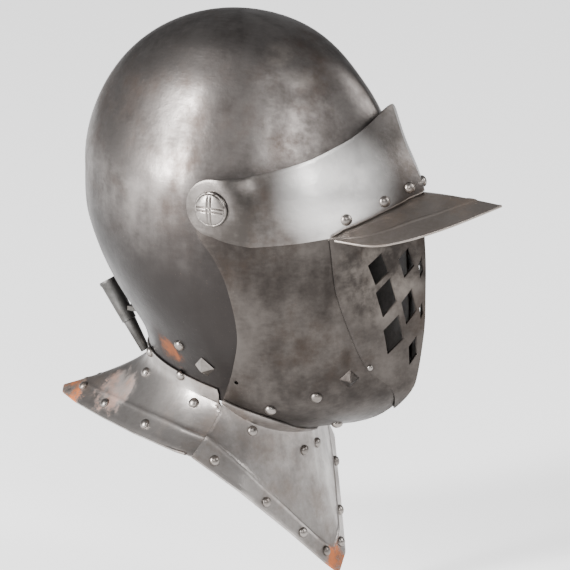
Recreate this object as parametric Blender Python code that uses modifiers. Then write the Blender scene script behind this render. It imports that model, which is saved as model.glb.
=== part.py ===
# Cuirassier helmet: bowl, bevor, pierced face plate, brow plate with peak, and two gorget plates.
# Metres, +Z up, the face looks along -Y. Points in the tables are measured from the pivot line
# through the two rosettes; every piece hangs on an empty that stands on that line.

import math

import bmesh
import bpy
from mathutils import Matrix, Vector

# Bowl
SKULL_HALF_WIDTH = 0.089
SKULL_HALF_LENGTH = 0.115
SKULL_FRONT_LENGTH = 0.1215
SKULL_RISE = 0.111
SKULL_MID_Y = 0.0274
SKULL_MID_Z = 0.0048
SKULL_WALL = 0.0014
SKULL_CROWN_SHARE = 1.50
SKULL_NARROWING = 0.10
NAPE_DROP = 0.151
NECK_REAR_RISE = 0.016

# Mask surface shared by the bevor, the face plate and the brow plate
MASK_HALF_WIDTH = 0.0935
MASK_REACH = 0.1175
MASK_DROP = 0.1825
PIVOT_HALF_WIDTH = 0.0915
PIVOT_FLAT_RADIUS = 0.016
PIVOT_BLEND_RADIUS = 0.032

# Plates
BEVOR_WALL = 0.0012
FACE_WALL = 0.0012
BROW_WALL = 0.0012
PEAK_WALL = 0.0010
GORGET_WALL = 0.0012
PLATE_GAP = 0.0005
SWING_GAP = 0.0018
FLANGE_GAP = 0.0010
NECK_GAP = 0.0010
FACE_LAP = 0.008
FACE_HALF_WIDTH = 0.056
BROW_RISE = 0.063
BROW_DROP = 0.026
BROW_LOBE_RADIUS = 0.020
BEVOR_LOBE_RADIUS = 0.014
BEVOR_TOP_DROP = 0.012
FACE_TOP_LAP = 0.008
PEAK_LENGTH = 0.0625
PEAK_HALF_WIDTH = 0.062
PEAK_FLANGE = 0.010
GORGET_BAND = 0.009
FRONT_GORGET_DROP = 0.1005
FRONT_GORGET_REACH = 0.022
GORGET_HALF_WIDTH = 0.090
REAR_GORGET_REACH = 0.076
REAR_GORGET_DROP = 0.0305
FRONT_BAND = 0.0022
GORGET_LAP = 0.04

# Pivots
BOLT_RADIUS = 0.0030
BOLT_PLAY = 0.0004
ROSETTE_RADIUS = 0.0125
ROSETTE_HEIGHT = 0.0045
INNER_HEAD_RADIUS = 0.0065
INNER_HEAD_HEIGHT = 0.0030

# Plume socket
SOCKET_LENGTH = 0.0568
SOCKET_TOP_RADIUS = 0.0070
SOCKET_STEP_RADIUS = 0.0050
SOCKET_BOTTOM_RADIUS = 0.0033
SOCKET_WALL = 0.0009
SOCKET_TILT = math.radians(32.3)
SOCKET_STANDOFF = 0.0165
SOCKET_LEVEL = 0.136
BRACKET_HALF_WIDTH = 0.006
BRACKET_WALL = 0.0016
BRACKET_FOOT = 0.012
BRACKET_LEVEL = 0.126

# Piercings, as shares of the face plate's half width and of the mask's drop
SIGHT_HALF_HEIGHT = 0.0145
SIGHT_HALF_WIDTH = 0.0066
SIGHT_SLANT = 0.0020
SIGHT_SHEAR = 0.0040

# Rivets and studs
RIVET_RADIUS = 0.0042
RIVET_HEIGHT = 0.0030
SMALL_RIVET_RADIUS = 0.0024
SMALL_RIVET_HEIGHT = 0.0016
RIVET_GAP = 0.0003
BAND_RIVET_GAP = 0.0014
FLARE_RIVET_GAP = 0.0006
SKULL_STUD_RADIUS = 0.0076
BEVOR_STUD_RADIUS = 0.0060
STUD_HEIGHT = 0.0048

# Visor rivets, as shares across the row from the keel
VISOR_RIVETS = [0.508, 0.274, 0.085]
# Bevor rivets: level as a share of the drop, share across the row
BEVOR_RIVETS = [(-0.916, 0.850), (-0.810, 0.665), (-0.950, 0.178)]
BEVOR_STUD = (-0.713, 0.499)
FACE_RIVET = (-0.661, 0.375)
# Front gorget rivets and rear gorget rivets: position round the neck, share from rim to edge
FRONT_RIVETS = [(0.340, 0.130), (0.060, 0.150)]
REAR_RIVETS = [(0.637, -0.760), (0.817, -0.700), (0.821, 0.230), (0.584, 0.230)]
# Bowl rivet and stud: level as a share of the nape drop, turn from side to rear
BOWL_RIVET = (-0.764, 1.185)
BOWL_STUD = (-0.834, 1.060)

# Mask rows: side level, keel level (shares of the drop), half width, widest point, keel reach, keel sharpness
MASK_ROWS = [
    (0.345, 0.345, 0.813, 0.187, -0.741, 0.60),
    (0.186, 0.186, 0.920, 0.187, -0.835, 0.68),
    (0.027, 0.027, 0.995, 0.187, -0.955, 0.76),
    (-0.203, -0.203, 1.000, 0.187, -1.000, 0.80),
    (-0.384, -0.400, 0.957, 0.170, -1.004, 0.80),
    (-0.471, -0.504, 0.920, 0.162, -1.000, 0.80),
    (-0.548, -0.603, 0.877, 0.153, -0.981, 0.80),
    (-0.614, -0.685, 0.834, 0.145, -0.960, 0.80),
    (-0.668, -0.751, 0.791, 0.136, -0.933, 0.80),
    (-0.707, -0.795, 0.759, 0.132, -0.889, 0.80),
    (-0.745, -0.855, 0.727, 0.128, -0.796, 0.78),
    (-0.778, -0.910, 0.695, 0.119, -0.672, 0.74),
    (-0.805, -0.953, 0.663, 0.111, -0.494, 0.68),
    (-0.822, -0.975, 0.642, 0.106, -0.340, 0.60),
    (-0.827, -1.000, 0.626, 0.102, -0.238, 0.55),
]

# Lower bowl rows below the widest level: share of the nape drop, half width, widest point, rear reach
BOWL_ROWS = [
    (0.00, 1.000, 0.217, 1.000),
    (0.24, 0.993, 0.207, 0.990),
    (0.46, 0.955, 0.180, 0.900),
    (0.62, 0.890, 0.165, 0.800),
    (0.76, 0.800, 0.140, 0.690),
    (0.88, 0.700, 0.120, 0.615),
    (1.00, 0.622, 0.104, 0.590),
]

# Edges as (level, value): rear edge of the bevor, side edge of the face plate
BEVOR_REAR_EDGE = [
    (-0.827, 0.099), (-0.773, 0.051), (-0.658, -0.037), (-0.499, -0.106),
    (-0.312, -0.071), (-0.203, 0.000), (-0.107, 0.109), (-0.055, 0.119), (0.0, 0.119),
]
FACE_SIDE_EDGE = [
    (-0.8575, 0.0), (-0.751, 0.25), (-0.646, 0.571), (-0.362, 0.911), (-0.110, 1.0),
]

# Brow plate columns: share across the row, upper level, lower level
BROW_COLUMNS = [
    (0.00, 1.000, 0.154), (0.10, 0.940, 0.077), (0.20, 0.860, -0.060), (0.30, 0.780, -0.192),
    (0.40, 0.700, -0.350), (0.52, 0.620, -0.538), (0.60, 0.560, -0.769), (0.66, 0.515, -0.808),
    (0.74, 0.465, -0.880), (0.82, 0.415, -0.940), (0.90, 0.365, -1.000),
]
BROW_END_COLUMNS = [(-1.00, 0.345, -0.960), (-0.60, 0.330, -0.900), (-0.25, 0.318, -0.830)]
BROW_LOBE_STEPS = [0.0, 0.25, 0.48, 0.68, 0.84, 0.95, 0.995]

# Peak outline by brow column: share of the half width, share of the length, drop from the keel
PEAK_OUTLINE = [
    (0.00, 0.000, 1.000, 0.040), (0.10, 0.200, 0.840, 0.110), (0.20, 0.390, 0.660, 0.190),
    (0.30, 0.590, 0.450, 0.270), (0.40, 0.780, 0.210, 0.345), (0.52, 0.950, -0.120, 0.405),
    (0.60, 0.985, -0.540, 0.395),
]

# Gorget edge stations: position round the neck, half width, reach, drop
GORGET_EDGE = [
    (0.000, 0.000, -1.00, 1.000), (0.070, 0.150, -0.90, 0.900), (0.200, 0.422, -0.15, 0.620),
    (0.360, 0.778, 0.85, 0.270), (0.500, 1.000, 2.10, 0.000),
]
REAR_EDGE = [
    (0.500, 1.000, 0.000, 1.000), (0.580, 0.950, 0.100, 1.000), (0.720, 0.700, 0.400, 1.000),
    (0.840, 0.460, 0.645, 1.000), (0.930, 0.260, 0.850, 0.960), (0.975, 0.120, 0.965, 0.920),
    (1.000, 0.000, 1.000, 0.900),
]

# Sights and breaths: share of the face half width, share of the mask drop, height share, width share
PIERCINGS = [
    (0.536, -0.252, 0.80, 0.95), (0.446, -0.367, 1.00, 1.00), (0.348, -0.521, 1.00, 1.00),
    (0.232, -0.241, 0.75, 0.80), (0.196, -0.416, 0.90, 0.80), (0.107, -0.597, 0.75, 0.50),
    (0.062, -0.268, 0.55, 0.26), (0.052, -0.440, 0.45, 0.22),
]

COLLECTION = "cuirassier_helmet"
STEEL = (0.33, 0.33, 0.34, 1.0)


def lerp_table(table, key, column):
    rows = sorted(table, key=lambda row: row[0])
    if key <= rows[0][0]:
        return rows[0][column]
    for low, high in zip(rows, rows[1:]):
        if key <= high[0]:
            share = (key - low[0]) / (high[0] - low[0])
            return low[column] + (high[column] - low[column]) * share
    return rows[-1][column]


def smooth(value):
    value = min(1.0, max(0.0, value))
    return value * value * (3.0 - 2.0 * value)


MASK_TABLE = [(row[1], row[0], row[2], row[3], row[4], row[5]) for row in MASK_ROWS]


def mask_section(level):
    key = level / MASK_DROP
    side, width, mid, reach, keel = (lerp_table(MASK_TABLE, key, column) for column in range(1, 6))
    return (side * MASK_DROP, width * MASK_HALF_WIDTH, mid * MASK_REACH, reach * MASK_REACH, keel)


def share_at_depth(depth, keel):
    rest = max(0.0, 1.0 - depth * depth)
    return (-keel + math.sqrt(keel * keel + 4.0 * (1.0 - keel) * rest)) / (2.0 * (1.0 - keel))


def depth_at_share(share, keel):
    return math.sqrt(max(0.0, 1.0 - keel * share - (1.0 - keel) * share * share))


def mask_point(level, depth):
    side, width, mid, reach, keel = mask_section(level)
    x = width * share_at_depth(depth, keel)
    y = mid - (mid - reach) * depth
    z = side + (level - side) * depth
    radius = math.hypot(y, z)
    span = PIVOT_BLEND_RADIUS - PIVOT_FLAT_RADIUS
    blend = 1.0 - smooth((radius - PIVOT_FLAT_RADIUS) / span)
    return Vector((x + (PIVOT_HALF_WIDTH - x) * blend, y, z))


def depth_for_x(level, x):
    side, width, mid, reach, keel = mask_section(level)
    return depth_at_share(min(1.0, x / width), keel)


def depth_for_y(level, y):
    side, width, mid, reach, keel = mask_section(level)
    return min(1.0, max(0.0, (mid - y) / (mid - reach)))


def mask_shell(level, depth, amount):
    """A point of the mask surface moved along its outward normal."""
    point = mask_point(level, depth)
    angle = max(0.03, math.acos(min(1.0, depth)))
    rearward = mask_point(level, math.cos(angle + 0.02)) - mask_point(level, math.cos(angle - 0.02))
    downward = mask_point(level - 0.002, math.cos(angle)) - mask_point(level + 0.002, math.cos(angle))
    normal = downward.cross(rearward)
    normal.normalize()
    if depth > 0.999999:
        flat = Vector((0.0, normal.y, normal.z))
        return Vector((0.0, point.y, point.z)) + flat * (amount / flat.length_squared)
    return point + normal * amount


def mask_depth(level, start_depth, end_depth, fraction):
    """The depth share that lies at a fraction of the row's length between two depths."""
    if fraction <= 0.0:
        return start_depth
    if fraction >= 1.0:
        return end_depth
    steps = 40
    low = math.acos(min(1.0, start_depth))
    high = math.acos(min(1.0, end_depth))
    angles = [low + (high - low) * step / steps for step in range(steps + 1)]
    points = [mask_point(level, math.cos(angle)) for angle in angles]
    lengths = [0.0]
    for first, second in zip(points, points[1:]):
        lengths.append(lengths[-1] + (second - first).length)
    target = lengths[-1] * fraction
    for index in range(steps):
        if target <= lengths[index + 1]:
            span = max(1e-9, lengths[index + 1] - lengths[index])
            share = (target - lengths[index]) / span
            return math.cos(angles[index] + (angles[index + 1] - angles[index]) * share)
    return end_depth


def face_edge_x(level):
    z = level
    x = 0.0
    for _ in range(4):
        x = lerp_table(FACE_SIDE_EDGE, z / MASK_DROP, 1) * FACE_HALF_WIDTH
        z = mask_point(level, depth_for_x(level, x)).z
    return x


def bevor_start_x(level):
    z = level
    x = 0.0
    for _ in range(4):
        x = max(0.0, lerp_table(FACE_SIDE_EDGE, z / MASK_DROP, 1) * FACE_HALF_WIDTH - FACE_LAP)
        z = mask_point(level, depth_for_x(level, x)).z
    return x


def bevor_rear_y(level):
    side = mask_section(level)[0]
    if side > -BEVOR_LOBE_RADIUS:
        return math.sqrt(max(0.0, BEVOR_LOBE_RADIUS ** 2 - max(0.0, side) ** 2))
    return min(BEVOR_LOBE_RADIUS, lerp_table(BEVOR_REAR_EDGE, side / MASK_DROP, 1) * MASK_REACH)


def bowl_section(level):
    drop = -level / NAPE_DROP
    width = lerp_table(BOWL_ROWS, drop, 1) * SKULL_HALF_WIDTH
    mid = lerp_table(BOWL_ROWS, drop, 2) * SKULL_HALF_LENGTH
    rear = SKULL_MID_Y + (lerp_table(BOWL_ROWS, drop, 3)) * SKULL_HALF_LENGTH
    return width, mid, rear


def bowl_point(level, turn):
    """Level is the height at the side; turn runs 0 at the front, 1 at the side, 2 at the rear."""
    if level >= SKULL_MID_Z:
        rise = min(1.0, (level - SKULL_MID_Z) / SKULL_RISE)
        size = math.sqrt(max(0.0, 1.0 - rise * rise))
        narrow = 1.0 - SKULL_NARROWING * smooth(rise / 0.55) * (1.0 - smooth((rise - 0.75) / 0.25))
        width = SKULL_HALF_WIDTH * size * narrow
        mid = SKULL_MID_Y - 0.0024 * size
        front = SKULL_MID_Y - SKULL_FRONT_LENGTH * size
        rear = SKULL_MID_Y + SKULL_HALF_LENGTH * size
        power = SKULL_CROWN_SHARE + (2.0 - SKULL_CROWN_SHARE) * smooth((rise - 0.60) / 0.40)
    else:
        width, mid, rear = bowl_section(level - SKULL_MID_Z)
        front = SKULL_MID_Y - SKULL_FRONT_LENGTH
        power = SKULL_CROWN_SHARE
    angle = turn * math.pi / 2.0
    if turn <= 1.0:
        x = width * math.sin(angle) ** (2.0 / power)
        y = mid - (mid - front) * max(0.0, math.cos(angle)) ** (2.0 / power)
    else:
        x = width * max(0.0, math.sin(angle))
        y = mid - (rear - mid) * math.cos(angle)
    if turn in (0.0, 2.0):
        x = 0.0
    z = level
    if level < SKULL_MID_Z:
        drop = (SKULL_MID_Z - level) / NAPE_DROP
        share = (y - mid) / (rear - mid) if y > mid else 0.0
        z = level + NECK_REAR_RISE * smooth(drop) * share
    return Vector((x, y, z))


def offset_rows(rows, amounts):
    """Move every point along the surface's outward normal; points on the mid plane stay on it."""
    count = len(rows)
    width = len(rows[0])
    moved = []
    for i in range(count):
        line = []
        for j in range(width):
            up = rows[max(0, i - 1)][j]
            down = rows[min(count - 1, i + 1)][j]
            left = rows[i][max(0, j - 1)]
            right = rows[i][min(width - 1, j + 1)]
            if (right - left).length < 1e-7:
                other = min(count - 1, i + 1) if i < count / 2 else max(0, i - 1)
                left = rows[other][max(0, j - 1)]
                right = rows[other][min(width - 1, j + 1)]
            normal = (down - up).cross(right - left)
            normal.normalize()
            amount = amounts[j] if isinstance(amounts, list) else amounts
            point = rows[i][j].copy()
            if abs(point.x) < 1e-7:
                flat = Vector((0.0, normal.y, normal.z))
                point += flat * (amount / max(0.2, flat.length_squared))
            else:
                point += normal * amount
                point.x = max(0.0, point.x)
            line.append(point)
        moved.append(line)
    return moved


def surface_normal(surface, first, second):
    step = 0.004
    across = surface(first + step, second) - surface(first - step, second)
    along_it = surface(first, second + step) - surface(first, second - step)
    normal = across.cross(along_it)
    normal.normalize()
    here = surface(first, second)
    if normal.dot(here - Vector((0.0, 0.0, here.z))) < 0.0:
        normal = -normal
    return normal


def offset_point(surface, first, second, amount):
    inner = min(0.496, max(0.004, first)) if first <= 0.5 else min(0.996, max(0.504, first))
    normal = surface_normal(surface, inner, min(0.9, max(0.1, second)))
    point = surface(first, second)
    if first in (0.0, 1.0):
        flat = Vector((0.0, normal.y, normal.z))
        point = point + flat * (amount / max(0.2, flat.length_squared))
        point.x = 0.0
        return point
    return point + normal * amount


def material(name, colour, metallic, roughness):
    made = bpy.data.materials.new(name)
    made.use_nodes = True
    shader = made.node_tree.nodes["Principled BSDF"]
    shader.inputs["Base Color"].default_value = colour
    shader.inputs["Metallic"].default_value = metallic
    shader.inputs["Roughness"].default_value = roughness
    return made


def place(mesh, name, parent, made, collection):
    item = bpy.data.objects.new(name, mesh)
    collection.objects.link(item)
    item.parent = parent
    if made is not None:
        mesh.materials.append(made)
    return item


def sheet(name, rows, wall, parent, made, collection):
    """A plate: the half grid is its inner face, mirrored and given its thickness outwards."""
    mesh = bpy.data.meshes.new(name)
    shape = bmesh.new()
    grid = [[shape.verts.new(point) for point in line] for line in rows]
    for upper, lower in zip(grid, grid[1:]):
        for j in range(len(upper) - 1):
            shape.faces.new((upper[j], lower[j], lower[j + 1], upper[j + 1]))
    bmesh.ops.remove_doubles(shape, verts=shape.verts, dist=1e-5)
    bmesh.ops.dissolve_degenerate(shape, edges=shape.edges, dist=1e-6)
    shape.to_mesh(mesh)
    shape.free()
    mesh.shade_smooth()
    item = place(mesh, name, parent, made, collection)
    mirror = item.modifiers.new("mirror", "MIRROR")
    mirror.merge_threshold = 0.00005
    solid = item.modifiers.new("wall", "SOLIDIFY")
    solid.thickness = wall
    solid.offset = 1.0
    solid.use_even_offset = True
    return item


def turned(name, profile, steps, place_at, direction, parent, made, collection, closed=False):
    """A turned piece: the profile runs down the outer side, as (radius, height) pairs."""
    mesh = bpy.data.meshes.new(name)
    shape = bmesh.new()
    dots = [shape.verts.new((radius, 0.0, height)) for radius, height in profile]
    for first, second in zip(dots, dots[1:]):
        shape.edges.new((first, second))
    if closed:
        shape.edges.new((dots[-1], dots[0]))
    shape.to_mesh(mesh)
    shape.free()
    item = place(mesh, name, parent, made, collection)
    item.location = place_at
    item.rotation_euler = direction.to_track_quat("Z", "Y").to_euler()
    screw = item.modifiers.new("turn", "SCREW")
    screw.steps = steps
    screw.render_steps = steps
    screw.use_merge_vertices = True
    screw.merge_threshold = 0.00001
    screw.use_smooth_shade = True
    return item


def cut(item, cutter):
    made = item.modifiers.new("cut_" + cutter.name, "BOOLEAN")
    made.operation = "DIFFERENCE"
    made.solver = "EXACT"
    made.object = cutter


def cutter_prism(name, outline, axis, low, high, parent, collection):
    """A closed prism over a flat outline given as pairs; axis is the direction it runs along."""
    mesh = bpy.data.meshes.new(name)
    shape = bmesh.new()
    add_prism(shape, outline, axis, low, high)
    shape.to_mesh(mesh)
    shape.free()
    item = place(mesh, name, parent, None, collection)
    item.hide_render = True
    item.display_type = "WIRE"
    return item


def add_prism(shape, outline, axis, low, high):
    ends = []
    for value in (low, high):
        if axis == "X":
            ends.append([shape.verts.new((value, a, b)) for a, b in outline])
        else:
            ends.append([shape.verts.new((a, value, b)) for a, b in outline])
    count = len(outline)
    faces = [shape.faces.new(ends[0]), shape.faces.new(list(reversed(ends[1])))]
    for index in range(count):
        nxt = (index + 1) % count
        faces.append(shape.faces.new((ends[0][nxt], ends[0][index], ends[1][index], ends[1][nxt])))
    bmesh.ops.recalc_face_normals(shape, faces=faces)


for old in list(bpy.data.objects):
    bpy.data.objects.remove(old, do_unlink=True)

parts = bpy.data.collections.new(COLLECTION)
cutters = bpy.data.collections.new(COLLECTION + "_cutters")
bpy.context.scene.collection.children.link(parts)
bpy.context.scene.collection.children.link(cutters)

CROWN_INSIDE = SKULL_MID_Z + SKULL_RISE - SKULL_WALL
PIVOT_PLACE = Vector((0.0, -SKULL_MID_Y, -CROWN_INSIDE))


def hinge_empty(name):
    item = bpy.data.objects.new(name, None)
    item.location = PIVOT_PLACE
    parts.objects.link(item)
    return item


bowl_frame = hinge_empty("bowl_frame")
bevor_hinge = hinge_empty("bevor_hinge")
visor_hinge = hinge_empty("visor_hinge")

bowl_steel = material("bowl_steel", STEEL, 1.0, 0.38)
mask_steel = material("mask_steel", STEEL, 1.0, 0.36)
brow_steel = material("brow_steel", STEEL, 1.0, 0.34)
peak_steel = material("peak_steel", (0.22, 0.20, 0.18, 1.0), 1.0, 0.45)
rivet_steel = material("rivet_steel", (0.45, 0.43, 0.40, 1.0), 1.0, 0.35)

# Offsets of the plates from the visible mask surface
FACE_IN = -FACE_WALL
BEVOR_IN = FACE_IN - PLATE_GAP - BEVOR_WALL
FLANGE_IN = FLANGE_GAP
BROW_FRONT_IN = FLANGE_IN + PEAK_WALL + PLATE_GAP
BROW_SIDE_IN = BEVOR_IN + BEVOR_WALL + SWING_GAP
GORGET_IN = BEVOR_IN + BEVOR_WALL + NECK_GAP

# Bowl
bowl_rows = []
for level_share in (1.0, 0.985, 0.94, 0.86, 0.75, 0.61, 0.45, 0.28, 0.12):
    bowl_rows.append([bowl_point(SKULL_MID_Z + SKULL_RISE * level_share, turn / 8.0) for turn in range(17)])
for drop_share in (0.0, 0.12, 0.24, 0.36, 0.48, 0.60, 0.70, 0.80, 0.90, 1.0):
    bowl_rows.append([bowl_point(SKULL_MID_Z - (NAPE_DROP + SKULL_MID_Z) * drop_share, turn / 8.0)
                      for turn in range(17)])
skull = sheet("skull", offset_rows(bowl_rows, -SKULL_WALL), SKULL_WALL, bowl_frame, bowl_steel, parts)

face_opening = [
    (-1.30, 0.095), (-0.52, 0.08), (-0.36, -0.026), (-0.27, -0.165), (-0.26, -0.40), (-0.28, -0.60),
    (-0.226, -0.79), (-0.13, -0.93), (-0.07, -1.06), (-0.07, -1.30), (-1.30, -1.30),
]
opening_outline = [(a * SKULL_HALF_LENGTH, b * NAPE_DROP) for a, b in face_opening]
opening_cutter = cutter_prism("face_opening_cutter", opening_outline, "X", -SKULL_HALF_WIDTH * 1.3,
                              SKULL_HALF_WIDTH * 1.3, bowl_frame, cutters)
cut(skull, opening_cutter)

# Pivot holes
bolt_shape = bpy.data.meshes.new("bolt_hole_cutter")
bolt_bm = bmesh.new()
bmesh.ops.create_cone(bolt_bm, cap_ends=True, segments=16, radius1=BOLT_RADIUS + BOLT_PLAY,
                      radius2=BOLT_RADIUS + BOLT_PLAY, depth=PIVOT_HALF_WIDTH * 2.5,
                      matrix=Matrix.Rotation(math.radians(90.0), 4, "Y"))
bolt_bm.to_mesh(bolt_shape)
bolt_bm.free()
bolt_cutter = place(bolt_shape, "bolt_hole_cutter", bowl_frame, None, cutters)
bolt_cutter.hide_render = True
bolt_cutter.display_type = "WIRE"
cut(skull, bolt_cutter)

# Bevor
bevor_bottom = -MASK_DROP
bevor_top = [
    (0.0, -1.0), (0.10, -1.0), (0.20, -1.0), (0.30, -0.97), (0.40, -0.95), (0.50, -0.94), (0.60, -0.92),
    (0.68, -0.75), (0.74, 0.0), (0.79, 0.65), (0.87, 1.0), (0.95, 0.70), (1.0, 0.10),
]
bevor_steps = (0.0, 0.08, 0.17, 0.27, 0.38, 0.50, 0.61, 0.71, 0.80, 0.85, 0.90, 0.95, 1.0)
bevor_rows = []
for step in bevor_steps:
    line = []
    for fraction, lift in bevor_top:
        top = lift * (BEVOR_LOBE_RADIUS if lift > 0.0 else BEVOR_TOP_DROP)
        level = top + (bevor_bottom - top) * step
        start_x = bevor_start_x(level) if step < 0.80 else 0.0
        start = depth_for_x(level, start_x)
        end = depth_for_y(level, bevor_rear_y(level))
        line.append(mask_shell(level, mask_depth(level, start, end, fraction), BEVOR_IN))
    bevor_rows.append(line)
bevor = sheet("bevor_plate", bevor_rows, BEVOR_WALL, bevor_hinge, mask_steel, parts)
cut(bevor, bolt_cutter)

# Face plate
face_bottom = FACE_SIDE_EDGE[0][0] * MASK_DROP
face_rows = []
for step in (0.0, 0.09, 0.18, 0.28, 0.38, 0.48, 0.58, 0.67, 0.76, 0.84, 0.91, 0.96, 1.0):
    line = []
    for index in range(9):
        fraction = index / 8.0
        share = fraction * 0.62
        top = lerp_table(BROW_COLUMNS, share, 2) * BROW_DROP + FACE_TOP_LAP
        level = top + (face_bottom - top) * step
        end_x = face_edge_x(level) if step < 1.0 else 0.0
        depth = mask_depth(level, 1.0, depth_for_x(level, end_x), fraction) if step < 1.0 else 1.0
        line.append(mask_shell(level, depth, FACE_IN))
    face_rows.append(line)
face = sheet("face_plate", face_rows, FACE_WALL, bevor_hinge, mask_steel, parts)

sight_mesh = bpy.data.meshes.new("sight_cutters")
sight_bm = bmesh.new()
for share_x, share_z, size, narrow in PIERCINGS:
    centre_x = share_x * FACE_HALF_WIDTH
    centre_z = share_z * MASK_DROP
    for side in (1.0, -1.0):
        corners = [
            (-SIGHT_SLANT * narrow, SIGHT_HALF_HEIGHT * size),
            (-SIGHT_HALF_WIDTH * narrow, -SIGHT_SHEAR * size),
            (SIGHT_SLANT * narrow, -SIGHT_HALF_HEIGHT * size),
            (SIGHT_HALF_WIDTH * narrow, SIGHT_SHEAR * size),
        ]
        outline = [(side * (centre_x + a), centre_z + b) for a, b in corners]
        add_prism(sight_bm, outline, "Y", -MASK_REACH * 1.3, -MASK_REACH * 0.35)
sight_bm.to_mesh(sight_mesh)
sight_bm.free()
sight_cutter = place(sight_mesh, "sight_cutters", bevor_hinge, None, cutters)
sight_cutter.hide_render = True
sight_cutter.display_type = "WIRE"
cut(face, sight_cutter)

# Brow plate
brow_columns = []
for share, top, bottom in BROW_COLUMNS:
    brow_columns.append((share, None, top * BROW_RISE, bottom * BROW_DROP))
for y_share, top, bottom in BROW_END_COLUMNS:
    brow_columns.append((None, y_share * BROW_LOBE_RADIUS, top * BROW_RISE, bottom * BROW_DROP))
for reach in BROW_LOBE_STEPS:
    half = BROW_LOBE_RADIUS * math.sqrt(1.0 - reach * reach)
    brow_columns.append((None, reach * BROW_LOBE_RADIUS, half, -half))
brow_rows = [[] for _ in range(7)]
for share, y, top, bottom in brow_columns:
    flange = min(PEAK_FLANGE, 0.4 * (top - bottom))
    near_front = 1.0 - smooth(((share if share is not None else 1.0) - 0.64) / 0.22)
    amount = BROW_SIDE_IN + (BROW_FRONT_IN - BROW_SIDE_IN) * near_front
    upper = bottom + flange
    levels = [top, top + (upper - top) * 0.25, top + (upper - top) * 0.5, top + (upper - top) * 0.75,
              upper, bottom + flange * 0.5, bottom]
    for row, level in zip(brow_rows, levels):
        if share is not None:
            depth = depth_at_share(share, mask_section(level)[4])
        else:
            depth = depth_for_y(level, y)
        row.append(mask_shell(level, depth, amount))
brow = sheet("brow_plate", brow_rows, BROW_WALL, visor_hinge, brow_steel, parts)
cut(brow, bolt_cutter)

# Peak with its flange behind the brow plate
peak_top = mask_point(BROW_COLUMNS[0][2] * BROW_DROP, 1.0)
peak_rows = [[] for _ in range(7)]
for share, half, reach, drop in PEAK_OUTLINE:
    bottom = lerp_table(BROW_COLUMNS, share, 2) * BROW_DROP
    bend = bottom - PEAK_WALL - 2.0 * PLATE_GAP
    column = []
    for level in (bottom + PEAK_FLANGE, bottom + PEAK_FLANGE * 0.5, bend):
        column.append(mask_shell(level, depth_at_share(share, mask_section(level)[4]), FLANGE_IN))
    inner = column[-1]
    outer = Vector((half * PEAK_HALF_WIDTH, peak_top.y - reach * PEAK_LENGTH,
                    peak_top.z - drop * PEAK_LENGTH))
    for step in (0.12, 0.40, 0.72, 1.0):
        point = inner.lerp(outer, step)
        if share == 0.0:
            point.x = 0.0
        column.append(point)
    for row, point in zip(peak_rows, column):
        row.append(point)
peak = sheet("peak", peak_rows, PEAK_WALL, visor_hinge, peak_steel, parts)


def edge_point(station):
    if station <= 0.5:
        table = GORGET_EDGE
        half, reach, drop = (lerp_table(table, station, column) for column in (1, 2, 3))
        neck = mask_point(-MASK_DROP, 1.0)
        side_z = -(NAPE_DROP + REAR_GORGET_DROP)
        low_z = -MASK_DROP - FRONT_GORGET_DROP
        return Vector((half * GORGET_HALF_WIDTH, neck.y + reach * FRONT_GORGET_REACH,
                       side_z + (low_z - side_z) * drop))
    table = REAR_EDGE
    half, reach, drop = (lerp_table(table, station, column) for column in (1, 2, 3))
    front = edge_point(0.5)
    rear_y = bowl_point(-NAPE_DROP, 2.0).y + REAR_GORGET_REACH
    return Vector((half * GORGET_HALF_WIDTH, front.y + (rear_y - front.y) * reach,
                   -NAPE_DROP - REAR_GORGET_DROP * drop))


def band_lift(station, lift):
    if station >= 0.5:
        return lift * GORGET_BAND
    return lift * (FRONT_BAND + (GORGET_BAND - FRONT_BAND) * smooth(station / 0.4))


def neck_point(station, lift):
    """A point of the band round the neck; lift runs 0 at the rim to 1 at the band's upper edge."""
    if station <= 0.5:
        level = -MASK_DROP + band_lift(station, lift)
        end = depth_for_y(level, bevor_rear_y(level))
        return mask_point(level, mask_depth(level, 1.0, end, station / 0.5))
    turn = 1.0 + (station - 0.5) / 0.5
    return bowl_point(-NAPE_DROP + band_lift(station, lift), turn)


def gorget_point(station, share):
    """Share runs -1 at the band's upper edge, 0 at the rim, 1 at the plate's outer edge."""
    low = offset_point(neck_point, station, 0.0, GORGET_IN if station <= 0.5 else NECK_GAP)
    if share <= 0.0:
        return offset_point(neck_point, station, -share, GORGET_IN if station <= 0.5 else NECK_GAP)
    edge = edge_point(station)
    flat = share ** 1.45
    return Vector((low.x + (edge.x - low.x) * flat, low.y + (edge.y - low.y) * flat,
                   low.z + (edge.z - low.z) * share))


def front_gorget_rows(shares):
    rows = []
    for share in shares:
        line = [gorget_point(0.5 * step / 10.0, share) for step in range(11)]
        line[0].x = 0.0
        rows.append(line)
    return rows


def under_point(station, share):
    """The rear plate's inner face; it slips under the front plate near the side seam."""
    point = gorget_point(station, share)
    near_seam = 1.0 - smooth((station - 0.5) / 0.12)
    if share <= 0.0 or near_seam <= 0.0:
        return point
    inner = min(0.98, station) if station > 0.5 else min(0.49, station)
    normal = surface_normal(gorget_point, inner, min(0.9, max(0.15, share)))
    return point - normal * ((GORGET_WALL + NECK_GAP) * near_seam)


def rear_gorget_rows(shares):
    rows = []
    for share in shares:
        start = 0.5 - GORGET_LAP * min(1.0, max(-0.25, (share - 0.12) / 0.18))
        line = [under_point(start + (1.0 - start) * step / 12.0, share) for step in range(13)]
        line[-1].x = 0.0
        rows.append(line)
    return rows


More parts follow.
